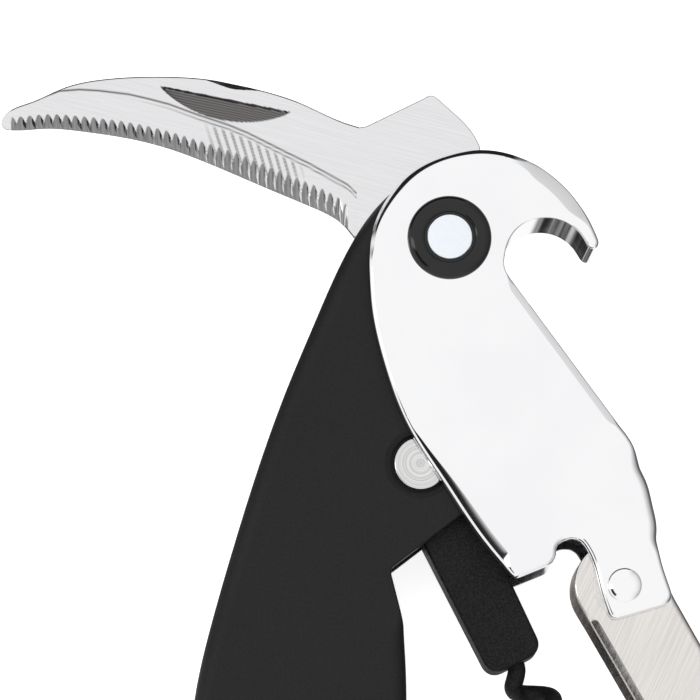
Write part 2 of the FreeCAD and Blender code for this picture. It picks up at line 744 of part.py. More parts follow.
# The hub is drawn along its own +X from the worm pivot and then turned to its place.
hub = new_body("worm_hub")
hub.Placement = FreeCAD.Placement(
    FreeCAD.Vector(worm_pivot[0], worm_pivot[1], 0),
    FreeCAD.Rotation(FreeCAD.Vector(0, 0, 1), size("worm_angle")),
)
hub_end = size("hub_length")
end_half = size("hub_end_width") / 2
corner = 2.0
hub_sketch = new_sketch(hub, "outline")
add_outline(hub_sketch, [
    ("arc", [(0.0, hub_half), (-hub_half, 0.0), (0.0, -hub_half)]),
    ("line", [(0.0, -hub_half), (hub_end - corner, -end_half)]),
    ("arc", [(hub_end - corner, -end_half), (hub_end - 0.6, 0.6 - end_half),
             (hub_end, corner - end_half)]),
    ("line", [(hub_end, corner - end_half), (hub_end, end_half - corner)]),
    ("arc", [(hub_end, end_half - corner), (hub_end - 0.6, end_half - 0.6),
             (hub_end - corner, end_half)]),
    ("line", [(hub_end - corner, end_half), (0.0, hub_half)]),
])
pad(hub, hub_sketch, "bar", "hub_thickness")
half_hub = size("hub_thickness") / 2
soften(hub, "rounds", "hub_edge_round", [half_hub, -half_hub])
hub_bore = new_sketch(hub, "bore")
add_circle(hub_bore, (0.0, 0.0), "bush_radius + pivot_fit")
pocket(hub, hub_bore, "bore_cut", "hub_thickness * 2")
roll_place = hub_end - size("shank_length") / 2
roll_hole = new_sketch(hub, "roll_hole")
add_circle(roll_hole, (roll_place, 0.0), "roll_pin_radius + screw_fit")
pocket(hub, roll_hole, "roll_hole_cut", "hub_thickness * 2")
shank_hole = hub.newObject("Sketcher::SketchObject", "worm_hub_shank_hole")
side_plane = [item for item in hub.Origin.OriginFeatures if item.Role == "YZ_Plane"][0]
shank_hole.AttachmentSupport = [(side_plane, "")]
shank_hole.MapMode = "FlatFace"
shank_hole.setExpression("AttachmentOffset.Base.z", formula("hub_length"))
add_circle(shank_hole, (0.0, 0.0), "shank_radius + screw_fit")
pocket(hub, shank_hole, "shank_hole_cut", "shank_length + screw_fit", False, False)


def worm_shape():
    """The worm along its own +Z from the hub's end: shank, bend, open helix and sharp point."""
    wire = size("wire_radius")
    radius = size("worm_radius")
    pitch = size("worm_pitch")
    turns = size("worm_turns")
    shank_r = size("shank_radius")
    inside = size("shank_length")
    up = FreeCAD.Vector(0, 0, 1)
    lead = 1.6 * radius
    shank = Part.makeCylinder(shank_r, inside, FreeCAD.Vector(0, 0, -inside), up)
    start = FreeCAD.Vector(radius, 0, lead)
    bend = Part.makeCylinder(wire, start.Length, FreeCAD.Vector(0, 0, 0), start)
    root = Part.makeSphere(shank_r, FreeCAD.Vector(0, 0, 0))
    elbow = Part.makeSphere(wire, start)
    helix = Part.makeHelix(pitch, pitch * turns, radius)
    helix.translate(FreeCAD.Vector(0, 0, lead))
    tangent = FreeCAD.Vector(0, 2 * math.pi * radius, pitch)
    section = Part.Wire([Part.makeCircle(wire, start, tangent)])
    coil = Part.Wire(helix.Edges).makePipeShell([section], True, True)
    finish = 2 * math.pi * turns
    end = FreeCAD.Vector(radius * math.cos(finish), radius * math.sin(finish), lead + pitch * turns)
    heading = FreeCAD.Vector(
        -2 * math.pi * radius * math.sin(finish), 2 * math.pi * radius * math.cos(finish), pitch
    )
    point = Part.makeCone(wire, 0.15, size("worm_tip_length"), end, heading)
    whole = shank.fuse([root, bend, elbow, coil, point]).removeSplitter()
    roll = size("roll_pin_radius") + size("screw_fit")
    hole = Part.makeCylinder(
        roll, 4 * shank_r, FreeCAD.Vector(-2 * shank_r, 0, -inside / 2), FreeCAD.Vector(1, 0, 0)
    )
    return whole.cut(hole)


worm = doc.addObject("Part::Feature", "worm")
worm.Label = "worm"
worm.Shape = worm_shape()
worm_start = polar(hub_end, size("worm_angle"), worm_pivot)
# The worm's +Z goes along the hub and its +X, where the roll pin lies, goes along the tool's +Z.
upright = FreeCAD.Rotation(FreeCAD.Vector(0, 1, 0), 90)
worm.Placement = FreeCAD.Placement(
    FreeCAD.Vector(worm_start[0], worm_start[1], middle),
    FreeCAD.Rotation(FreeCAD.Vector(0, 0, 1), size("worm_angle")) * upright,
)
roll_pin = pin("worm_roll_pin", "roll_pin_radius", "hub_thickness - 0.4",
               polar(roll_place, size("worm_angle"), worm_pivot))

# ---------------------------------------------------------------- second step

# The arm is drawn along its own +X from its pivot, its outer side towards +Y, then turned.
arm = new_body("second_step_arm")
arm.Placement = FreeCAD.Placement(
    FreeCAD.Vector(step_pivot[0], step_pivot[1], 0),
    FreeCAD.Rotation(FreeCAD.Vector(0, 0, 1), size("arm_angle")),
)
inner_side = -size("arm_inner_side")
outer_side = size("arm_outer_side")
flare = size("arm_flare")
end_x = size("arm_length")
lip = size("arm_lip_reach")
lip_high = size("arm_lip_height")
arm_sketch = new_sketch(arm, "cheek")
add_outline(arm_sketch, [
    ("arc", [(inner_side * 0.35, -inner_side * 0.82), (-7.0, -0.6), (-4.6, inner_side * 0.8)]),
    ("arc", [(-4.6, inner_side * 0.8), (-2.4, inner_side * 0.97), (0.0, inner_side)]),
    ("line", [(0.0, inner_side), (end_x - lip_high - 5.0, inner_side + flare)]),
    ("arc", [(end_x - lip_high - 5.0, inner_side + flare), (end_x - lip_high - 1.6, inner_side + 0.9),
             (end_x - lip_high, inner_side - lip + 1.6)]),
    ("arc", [(end_x - lip_high, inner_side - lip + 1.6), (end_x - lip_high / 2, inner_side - lip + 0.2),
             (end_x, inner_side - lip + 1.6)]),
    ("line", [(end_x, inner_side - lip + 1.6), (end_x, outer_side + flare - 3.0)]),
    ("arc", [(end_x, outer_side + flare - 3.0), (end_x - 0.9, outer_side + flare - 0.9),
             (end_x - 3.0, outer_side + flare)]),
    ("line", [(end_x - 3.0, outer_side + flare), (inner_side * 0.35, -inner_side * 0.82)]),
])
arm_half = "(" + HALF_GAP + " - arm_side_gap)"
pad(arm, arm_sketch, "block", "2 * " + arm_half)
sheet_wall = size("arm_sheet")
channel = new_sketch(arm, "channel")
add_outline(channel, closed([
    (-12.0, 20.0), (4.0, 20.0), (4.0, outer_side - sheet_wall - 0.4),
    (end_x - 3.2, outer_side + flare - sheet_wall - 0.2),
    (end_x + 4.0, outer_side + flare - sheet_wall - 1.2),
    (end_x + 4.0, -20.0), (-12.0, -20.0),
]))
pocket(arm, channel, "channel_cut", "2 * (" + arm_half + " - arm_sheet)")
arm_hole = new_sketch(arm, "pivot_hole")
add_circle(arm_hole, (0.0, 0.0), "rivet_radius + pivot_fit")
pocket(arm, arm_hole, "pivot_hole_cut", "4 * " + arm_half)

rivet_r = size("rivet_radius")
dome_r = size("rivet_head_radius")
dome = half_lever + size("rivet_head_height")
dome_land = 0.3
rivet = revolved("second_step_rivet", [
    ("line", [(dome_land, -dome), (0.0, -dome), (0.0, dome), (dome_land, dome)]),
    ("arc", [(dome_land, dome), (dome_r * 0.66, dome - size("rivet_head_height") * 0.32),
             (dome_r, half_lever)]),
    ("line", [(dome_r, half_lever), (rivet_r, half_lever), (rivet_r, -half_lever),
              (dome_r, -half_lever)]),
    ("arc", [(dome_r, -half_lever), (dome_r * 0.66, size("rivet_head_height") * 0.32 - dome),
             (dome_land, -dome)]),
], step_pivot)
rivet_washers = group("second_step_washers", [
    tube("second_step_washer_front", "rivet_radius + pivot_fit", "rivet_washer_radius",
         "arm_side_gap", arm_half, step_pivot),
    tube("second_step_washer_rear", "rivet_radius + pivot_fit", "rivet_washer_radius",
         "arm_side_gap", "(0 - " + HALF_GAP + ")", step_pivot),
])

# ---------------------------------------------------------------- check and write

PARTS = [
    front_half, rear_half, body_screws, blade, blade_washers, blade_stop, spring, spring_anchor,
    lever, lever_washers, pivot_barrel, pivot_screw, front_ring, rear_ring, discs[0], discs[1],
    worm_pin, worm_bush, worm_washers, hub, worm, roll_pin, arm, rivet, rivet_washers,
]

doc.recompute()
for item in doc.Objects:
    faults = {"Invalid", "Error"} & set(item.State)
    if faults:
        raise RuntimeError("%s did not build: %s" % (item.Label, sorted(faults)))
for item in PARTS:
    if item.Shape.isNull() or not item.Shape.isValid() or not item.Shape.Solids:
        raise RuntimeError("%s has no valid solid" % item.Label)

os.makedirs("parts", exist_ok=True)
for item in PARTS:
    item.Shape.exportStep(os.path.join("parts", item.Label + ".step"))
    print("%-22s %d solid(s) %10.2f mm3" % (item.Label, len(item.Shape.Solids), item.Shape.Volume))
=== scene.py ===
"""Lever corkscrew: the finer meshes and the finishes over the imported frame.

Every length written here is in millimetres in the frame's own axes and becomes metres when a mesh
is made. The main pivot is the Z axis, +Z is the front side and -Y points down the handle.
"""

from __future__ import annotations

import logging
import math
from dataclasses import dataclass, field
from enum import Enum

import bmesh
import bpy
import numpy as np
from mathutils import Matrix

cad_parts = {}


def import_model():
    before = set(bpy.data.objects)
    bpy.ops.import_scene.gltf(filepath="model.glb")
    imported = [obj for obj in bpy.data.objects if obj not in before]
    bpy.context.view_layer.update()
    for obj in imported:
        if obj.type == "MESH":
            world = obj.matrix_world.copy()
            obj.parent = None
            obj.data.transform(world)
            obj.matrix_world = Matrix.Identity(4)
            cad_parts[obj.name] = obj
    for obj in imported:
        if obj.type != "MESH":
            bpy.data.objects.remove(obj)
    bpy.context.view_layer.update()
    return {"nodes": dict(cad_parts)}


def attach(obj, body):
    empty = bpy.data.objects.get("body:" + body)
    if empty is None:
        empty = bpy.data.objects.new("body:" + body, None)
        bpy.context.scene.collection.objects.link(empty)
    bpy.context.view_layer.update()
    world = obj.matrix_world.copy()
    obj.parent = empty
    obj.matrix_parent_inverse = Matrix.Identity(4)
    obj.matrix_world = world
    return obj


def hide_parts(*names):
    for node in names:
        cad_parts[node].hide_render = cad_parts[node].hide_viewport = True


log = logging.getLogger("corkscrew")

MM = 0.001
STEP = 0.22
Point = tuple[float, float]


# ---------------------------------------------------------------- outlines


class Kind(Enum):
    """How the points of one stroke of an outline are joined."""

    LINE = "line"
    ARC = "arc"
    CURVE = "curve"


@dataclass(frozen=True)
class Stroke:
    """One stretch of an outline."""

    kind: Kind
    points: tuple[Point, ...]

    def sampled(self) -> np.ndarray:
        """Points along the stroke, without its last one."""
        knots = np.array(self.points, dtype=float)
        if self.kind is Kind.LINE:
            return polyline(knots)
        if self.kind is Kind.ARC:
            return arc(knots)
        return spline(knots)


def line(*points: Point) -> Stroke:
    """A stretch of straight runs."""
    return Stroke(Kind.LINE, points)


def bend(*points: Point) -> Stroke:
    """A circular arc through three points."""
    return Stroke(Kind.ARC, points)


def curve(*points: Point) -> Stroke:
    """A smooth curve through all its points."""
    return Stroke(Kind.CURVE, points)


def polyline(knots: np.ndarray) -> np.ndarray:
    """Even steps along straight runs.

    Args:
        knots: The corners, one row each.

    Returns:
        The points, without the last corner.
    """
    runs = []
    for start, end in zip(knots[:-1], knots[1:]):
        count = max(2, int(np.linalg.norm(end - start) / STEP))
        share = np.linspace(0.0, 1.0, count, endpoint=False)[:, None]
        runs.append(start + share * (end - start))
    return np.vstack(runs)


def arc(knots: np.ndarray) -> np.ndarray:
    """The circle through three points, from the first by way of the second to the third.

    Args:
        knots: The three points.

    Returns:
        Points along it at even angles, without the last one.
    """
    first, middle, last = knots
    rows = 2.0 * np.array([middle - first, last - first])
    sums = np.array([middle @ middle - first @ first, last @ last - first @ first])
    centre = np.linalg.solve(rows, sums)
    angles = np.unwrap(np.arctan2(*(knots - centre).T[::-1]))
    radius = np.linalg.norm(first - centre)
    count = max(4, int(abs(angles[2] - angles[0]) * radius / STEP))
    turn = np.linspace(angles[0], angles[2], count, endpoint=False)
    return centre + radius * np.column_stack([np.cos(turn), np.sin(turn)])


def spline(knots: np.ndarray) -> np.ndarray:
    """The natural cubic through the points, over its chord length.

    The second derivatives solve the usual three-term rows, and each span is the cubic that they
    and its two end points fix.

    Args:
        knots: The points, one row each.

    Returns:
        Points along the curve, without the last one.
    """
    chords = np.linalg.norm(np.diff(knots, axis=0), axis=1)
    place = np.concatenate([[0.0], np.cumsum(chords)])
    size = len(knots)
    rows = np.eye(size)
    sums = np.zeros((size, 2))
    for i in range(1, size - 1):
        rows[i, i - 1] = chords[i - 1]
        rows[i, i] = 2.0 * (chords[i - 1] + chords[i])
        rows[i, i + 1] = chords[i]
        ahead = (knots[i + 1] - knots[i]) / chords[i]
        behind = (knots[i] - knots[i - 1]) / chords[i - 1]
        sums[i] = 6.0 * (ahead - behind)
    bends = np.linalg.solve(rows, sums)
    where = np.linspace(0.0, place[-1], max(4, int(place[-1] / STEP)), endpoint=False)
    span = np.clip(np.searchsorted(place, where, side="right") - 1, 0, size - 2)
    wide = chords[span][:, None]
    left = (where - place[span])[:, None]
    right = wide - left
    cubic = (bends[span] * right**3 + bends[span + 1] * left**3) / (6.0 * wide)
    start = (knots[span] / wide - bends[span] * wide / 6.0) * right
    end = (knots[span + 1] / wide - bends[span + 1] * wide / 6.0) * left
    return cubic + start + end


def resampled(points: np.ndarray, count: int) -> np.ndarray:
    """A closed loop's points at even steps along it."""
    ring = np.vstack([points, points[:1]])
    place = np.concatenate([[0.0], np.cumsum(np.linalg.norm(np.diff(ring, axis=0), axis=1))])
    where = np.linspace(0.0, place[-1], count, endpoint=False)
    return np.column_stack([np.interp(where, place, ring[:, axis]) for axis in (0, 1)])


def softened(points: np.ndarray, reach: float) -> np.ndarray:
    """A closed loop averaged along itself with a bell of this reach, in steps of the loop."""
    count = len(points)
    steps = np.minimum(np.arange(count), count - np.arange(count))
    bell = np.exp(-0.5 * (steps / max(reach, 1e-6)) ** 2)
    bell /= bell.sum()
    spectrum = np.fft.fft(bell)[:, None] if points.ndim == 2 else np.fft.fft(bell)
    return np.real(np.fft.ifft(np.fft.fft(points, axis=0) * spectrum, axis=0))


@dataclass
class Loop:
    """A closed outline, run anticlockwise as seen from the front.

    Attributes:
        points: Even points along it.
    """

    points: np.ndarray

    @classmethod
    def drawn(cls, strokes: list[Stroke], soft: float = 0.35, step: float = STEP) -> Loop:
        """An outline from its strokes, its corners softened over this many millimetres."""
        raw = np.vstack([stroke.sampled() for stroke in strokes])
        length = np.linalg.norm(np.diff(np.vstack([raw, raw[:1]]), axis=0), axis=1).sum()
        even = resampled(raw, int(length / step))
        x, y = even.T
        area = 0.5 * np.sum(x * np.roll(y, -1) - y * np.roll(x, -1))
        if area < 0.0:
            even = even[::-1]
        return cls(resampled(softened(even, soft / step), len(even)))

    @property
    def inward(self) -> np.ndarray:
        """The unit direction into the outline at each point."""
        ahead = np.roll(self.points, -1, axis=0) - np.roll(self.points, 1, axis=0)
        ahead /= np.linalg.norm(ahead, axis=1)[:, None]
        return softened(np.column_stack([-ahead[:, 1], ahead[:, 0]]), 1.0)

    def bulge(self) -> np.ndarray:
        """How sharply the loop turns towards its inside at each point, one over millimetres."""
        before = self.points - np.roll(self.points, 1, axis=0)
        after = np.roll(self.points, -1, axis=0) - self.points
        turn = before[:, 0] * after[:, 1] - before[:, 1] * after[:, 0]
        turn /= np.linalg.norm(before, axis=1) * np.linalg.norm(after, axis=1)
        return softened(np.arcsin(np.clip(turn, -1, 1)) / np.linalg.norm(after, axis=1), 1.5)

    def nearest(self, point: Point) -> int:
        """The index of the loop's point nearest to this one."""
        return int(np.argmin(np.linalg.norm(self.points - np.array(point), axis=1)))

    def zone(self, start: Point, end: Point, ramp: float) -> np.ndarray:
        """One along the stretch from start to end, nought elsewhere, eased over the ramp.

        Args:
            start: Where the stretch begins, going anticlockwise.
            end: Where it ends.
            ramp: The length in millimetres over which it rises and falls, inside the stretch.

        Returns:
            The weight at each point of the loop.
        """
        count = len(self.points)
        spacing = np.linalg.norm(self.points[1] - self.points[0])
        first = self.nearest(start)
        length = (self.nearest(end) - first) % count
        along = (np.arange(count) - first) % count
        edge = np.minimum(along, length - along) * spacing / ramp
        share = np.clip(edge, 0.0, 1.0)
        return np.where(along <= length, share * share * (3.0 - 2.0 * share), 0.0)


# ---------------------------------------------------------------- meshes


def new_mesh_piece(name: str, points: np.ndarray, faces: list[tuple[int, ...]]) -> bpy.types.Object:
    """An object at the origin whose mesh has these corners, in millimetres, and these faces."""
    mesh = bpy.data.meshes.new(name)
    mesh.from_pydata((points * MM).tolist(), [], faces)
    mesh.validate()
    outward = bmesh.new()
    outward.from_mesh(mesh)
    bmesh.ops.recalc_face_normals(outward, faces=outward.faces)
    outward.to_mesh(mesh)
    outward.free()
    mesh.update()
    piece = bpy.data.objects.new(name, mesh)
    bpy.context.scene.collection.objects.link(piece)
    return piece


def band_faces(rows: int, columns: int, closed: bool = True) -> np.ndarray:
    """The quads between neighbouring rows of a grid, facing out when rows rise and turn left."""
    row, column = np.meshgrid(np.arange(rows - 1), np.arange(columns if closed else columns - 1),
                              indexing="ij")
    right = (column + 1) % columns
    quads = [row * columns + column, row * columns + right,
             (row + 1) * columns + right, (row + 1) * columns + column]
    return np.stack(quads, axis=-1).reshape(-1, 4)


def ring_solid(name: str, rings: np.ndarray) -> bpy.types.Object:
    """A closed solid from rings of points stacked from the bottom up, with flat ends.

    Args:
        name: The piece's name.
        rings: Points as ring, place along the ring, and the three coordinates.

    Returns:
        The new object.
    """
    rows, columns = rings.shape[:2]
    faces = [tuple(face) for face in band_faces(rows, columns).tolist()]
    faces.append(tuple(range(columns - 1, -1, -1)))
    faces.append(tuple(range((rows - 1) * columns, rows * columns)))
    return new_mesh_piece(name, rings.reshape(-1, 3), faces)


def shaded(piece: bpy.types.Object, angle: float = 32.0) -> bpy.types.Object:
    """Smooth shading with sharp edges over this angle and flats kept flat."""
    piece.data.shade_smooth()
    piece.data.set_sharp_from_angle(angle=math.radians(angle))
    weights = piece.modifiers.new("flat faces lead", "WEIGHTED_NORMAL")
    weights.keep_sharp = True
    weights.weight = 80
    return piece


def cut_away(piece: bpy.types.Object, cutters: list[bpy.types.Object]) -> bpy.types.Object:
    """The piece with each cutter's space taken out of its mesh."""
    for cutter in cutters:
        cut = piece.modifiers.new("cut", "BOOLEAN")
        cut.operation = "DIFFERENCE"
        cut.solver = "EXACT"
        cut.object = cutter
    bpy.context.view_layer.update()
    shape = piece.evaluated_get(bpy.context.evaluated_depsgraph_get())
    carved = bpy.data.meshes.new_from_object(shape)
    old = piece.data
    piece.modifiers.clear()
    piece.data = carved
    bpy.data.meshes.remove(old)
    for cutter in cutters:
        bpy.data.objects.remove(cutter)
    return piece


@dataclass
class Rim:
    """The shape of a slab's edge at each point of its loop.

    Attributes:
        radius: Radius of the rounding, in millimetres.
        facet: Width of a flat let into the rounding.
        slope: Slope of that flat away from the face, in degrees.
    """

    radius: np.ndarray
    facet: np.ndarray
    slope: np.ndarray

    @classmethod
    def even(cls, loop: Loop, radius: float) -> Rim:
        """A plain rounding of one radius all the way round."""
        count = len(loop.points)
        return cls(np.full(count, radius), np.zeros(count), np.full(count, 45.0))

    def eased(self, loop: Loop) -> Rim:
        """The same rim with its rounding kept smaller than the loop's tight outer corners."""
        room = 0.85 / np.maximum(loop.bulge(), 1e-3)
        radius = softened(np.minimum(self.radius, np.maximum(room - self.facet, 0.12)), 2.0)
        facet = softened(self.facet, 2.0)
        return Rim(radius, facet, softened(self.slope, 2.0))

    def levels(self, steps: int = 7) -> tuple[np.ndarray, np.ndarray]:
        """The edge's section from the wall up to the face.

        The rounding turns from upright to the facet's slope, runs straight for the facet and
        turns on to level: inset = r(1 - cos), drop = r(1 - sin) of the turned angle.

        Args:
            steps: How many rings each part of the rounding has.

        Returns:
            The inset from the wall and the drop below the face, each as ring by loop point.
        """
        slope = np.radians(self.slope)
        share = np.linspace(0.0, 1.0, steps)[:, None]
        upper = np.pi / 2 - (np.pi / 2 - slope) * share
        lower = slope * (1.0 - share)
        tilt = np.vstack([upper, lower])
        inset = self.radius * (1.0 - np.sin(tilt))
        drop = self.radius * (1.0 - np.cos(tilt))
        inset[steps:] += self.facet * np.cos(slope)
        drop[:steps] += self.facet * np.sin(slope)
        return inset, drop


def slab(name: str, loop: Loop, low: float, high: float, top: Rim, bottom: Rim) -> bpy.types.Object:
    """A plate of the loop's outline whose upper and lower edges have these rims."""
    inset, drop = top.levels()
    under, rise = bottom.levels()
    outline = loop.points[None]
    inward = loop.inward[None]
    upper = np.concatenate([outline + inward * inset[..., None], (high - drop)[..., None]], axis=2)
    lower = np.concatenate([outline + inward * under[..., None], (low + rise)[..., None]], axis=2)
    return ring_solid(name, np.concatenate([lower[::-1], upper]))


def prism(name: str, strokes: list[Stroke], low: float, high: float) -> bpy.types.Object:
    """A straight-walled solid of this outline, for cutting."""
    loop = Loop.drawn(strokes, soft=0.02, step=0.4)
    rings = np.stack([
        np.column_stack([loop.points, np.full(len(loop.points), height)]) for height in (low, high)
    ])
    return ring_solid(name, rings)


def turned_solid(name: str, section: list[Point], centre: Point,
                 sides: int = 128) -> bpy.types.Object:
    """A solid turned about an upright axis.

    Args:
        name: The piece's name.
        section: (radius, height) points from the bottom pole to the top pole, in mm.
        centre: Where the axis stands, in mm.
        sides: The number of steps round the axis.

    Returns:
        The new object.
    """
    radius, height = np.array(section, dtype=float).T
    angle = np.linspace(0.0, 2 * np.pi, sides, endpoint=False)
    rings = np.stack([
        centre[0] + radius[:, None] * np.cos(angle),
        centre[1] + radius[:, None] * np.sin(angle),
        np.broadcast_to(height[:, None], (len(section), sides)),
    ], axis=-1)
    return ring_solid(name, rings)


def corner(centre: Point, radius: float, start: float, end: float, count: int = 7) -> list[Point]:
    """Points of a section's rounded corner between two angles in degrees."""
    turn = np.radians(np.linspace(start, end, count))
    return [(centre[0] + radius * math.cos(t), centre[1] + radius * math.sin(t)) for t in turn]


# ---------------------------------------------------------------- finishes


class Nodes:
    """A material's node tree with short ways to add and join nodes."""

    def __init__(self, tree: bpy.types.NodeTree) -> None:
        """Takes over an empty tree."""
        self.tree = tree

    def add(self, kind: str, **values: object) -> bpy.types.Node:
        """A node of this kind; a value named for a property sets it."""
        node = self.tree.nodes.new(kind)
        for name, value in values.items():
            setattr(node, name, value)
        return node

    def join(self, source: bpy.types.NodeSocket, target: bpy.types.NodeSocket) -> None:
        """A link from one socket to another."""
        self.tree.links.new(source, target)

    def math(self, operation: str, first: object, second: object = 0.0) -> bpy.types.NodeSocket:
        """The result of one arithmetic step over sockets or numbers."""
        node = self.add("ShaderNodeMath", operation=operation)
        for socket, value in zip(node.inputs, (first, second)):
            if isinstance(value, bpy.types.NodeSocket):
                self.join(value, socket)
            else:
                socket.default_value = value
        return node.outputs[0]

    def range(self, value: object, low: float, high: float, to_low: float = 0.0,
              to_high: float = 1.0, smooth: bool = True) -> bpy.types.NodeSocket:
        """A value carried from one span to another, held at the ends."""
        node = self.add("ShaderNodeMapRange")
        node.interpolation_type = "SMOOTHSTEP" if smooth else "LINEAR"
        self.join(value, node.inputs[0])
        for socket, number in zip(node.inputs[1:5], (low, high, to_low, to_high)):
            socket.default_value = number
        return node.outputs[0]

    def colour_between(self, share: object, first: tuple, second: tuple) -> bpy.types.NodeSocket:
        """A colour between two, by a share."""
        node = self.add("ShaderNodeMix", data_type="RGBA")
        self.join(share, node.inputs[0])
        node.inputs[6].default_value = (*first, 1.0)
        node.inputs[7].default_value = (*second, 1.0)
        return node.outputs[2]


def new_group(name: str, inputs: dict[str, float], outputs: dict[str, str]) -> Nodes:
    """An empty node group with named number inputs and named outputs of given socket kinds."""
    tree = bpy.data.node_groups.new(name, "ShaderNodeTree")
    for label, default in inputs.items():
        socket = tree.interface.new_socket(label, in_out="INPUT", socket_type="NodeSocketFloat")
        socket.default_value = default
    for label, kind in outputs.items():
        tree.interface.new_socket(label, in_out="OUTPUT", socket_type=kind)
    return Nodes(tree)


class Effects:
    """The surface effects that several finishes share, each one a node group."""

    def __init__(self) -> None:
        """Builds each group once."""
        self.handling = self._handling()
        self.brushing = self._brushing()
        self.turning = self._turning()

    @staticmethod
    def _handling() -> bpy.types.NodeTree:
        """Soft smudges, as a mask."""
        group = new_group("handling marks", {"Smudge Scale": 60.0}, {"Smudge": "NodeSocketFloat"})
        given = group.add("NodeGroupInput")
        result = group.add("NodeGroupOutput")
        place = group.add("ShaderNodeTexCoord")
        smudge = group.add("ShaderNodeTexNoise")
        smudge.inputs["Detail"].default_value = 4.0
        group.join(place.outputs["Object"], smudge.inputs["Vector"])
        group.join(given.outputs["Smudge Scale"], smudge.inputs["Scale"])
        group.join(group.range(smudge.outputs[0], 0.35, 0.7), result.inputs["Smudge"])
        return group.tree

    @staticmethod
    def _brushing() -> bpy.types.NodeTree:
        """Fine parallel lines from a noise drawn out along one direction."""
        group = new_group("brushed lines", {"Scale": 2500.0, "Turn": 0.0, "Stretch": 0.02},
                          {"Lines": "NodeSocketFloat"})
        given = group.add("NodeGroupInput")
        result = group.add("NodeGroupOutput")
        place = group.add("ShaderNodeTexCoord")
        turn = group.add("ShaderNodeVectorRotate", rotation_type="Z_AXIS")
        group.join(place.outputs["Object"], turn.inputs["Vector"])
        group.join(given.outputs["Turn"], turn.inputs["Angle"])
        narrow = group.add("ShaderNodeCombineXYZ")
        group.join(given.outputs["Stretch"], narrow.inputs[0])
        narrow.inputs[1].default_value = 1.0
        narrow.inputs[2].default_value = 1.0
        drawn = group.add("ShaderNodeVectorMath", operation="MULTIPLY")
        group.join(turn.outputs[0], drawn.inputs[0])
        group.join(narrow.outputs[0], drawn.inputs[1])
        noise = group.add("ShaderNodeTexNoise")
        noise.inputs["Detail"].default_value = 5.0
        noise.inputs["Roughness"].default_value = 0.65
        group.join(drawn.outputs[0], noise.inputs["Vector"])
        group.join(given.outputs["Scale"], noise.inputs["Scale"])
        group.join(noise.outputs[0], result.inputs["Lines"])
        return group.tree

    @staticmethod
    def _turning() -> bpy.types.NodeTree:
        """Rings left by a turning tool round a centre, from a noise of the distance to it."""
        group = new_group("turned rings", {"Centre X": 0.0, "Centre Y": 0.0, "Scale": 3000.0},
                          {"Rings": "NodeSocketFloat"})
        given = group.add("NodeGroupInput")
        result = group.add("NodeGroupOutput")
        place = group.add("ShaderNodeTexCoord")
        split = group.add("ShaderNodeSeparateXYZ")
        group.join(place.outputs["Object"], split.inputs[0])
        across = group.math("SUBTRACT", split.outputs[0], given.outputs["Centre X"])
        along = group.math("SUBTRACT", split.outputs[1], given.outputs["Centre Y"])
        squares = group.math("ADD", group.math("MULTIPLY", across, across),
                             group.math("MULTIPLY", along, along))
        distance = group.math("SQRT", squares)
        noise = group.add("ShaderNodeTexNoise", noise_dimensions="1D")
        noise.inputs["Detail"].default_value = 3.0
        group.join(distance, noise.inputs["W"])
        group.join(given.outputs["Scale"], noise.inputs["Scale"])
        group.join(noise.outputs[0], result.inputs["Rings"])
        return group.tree


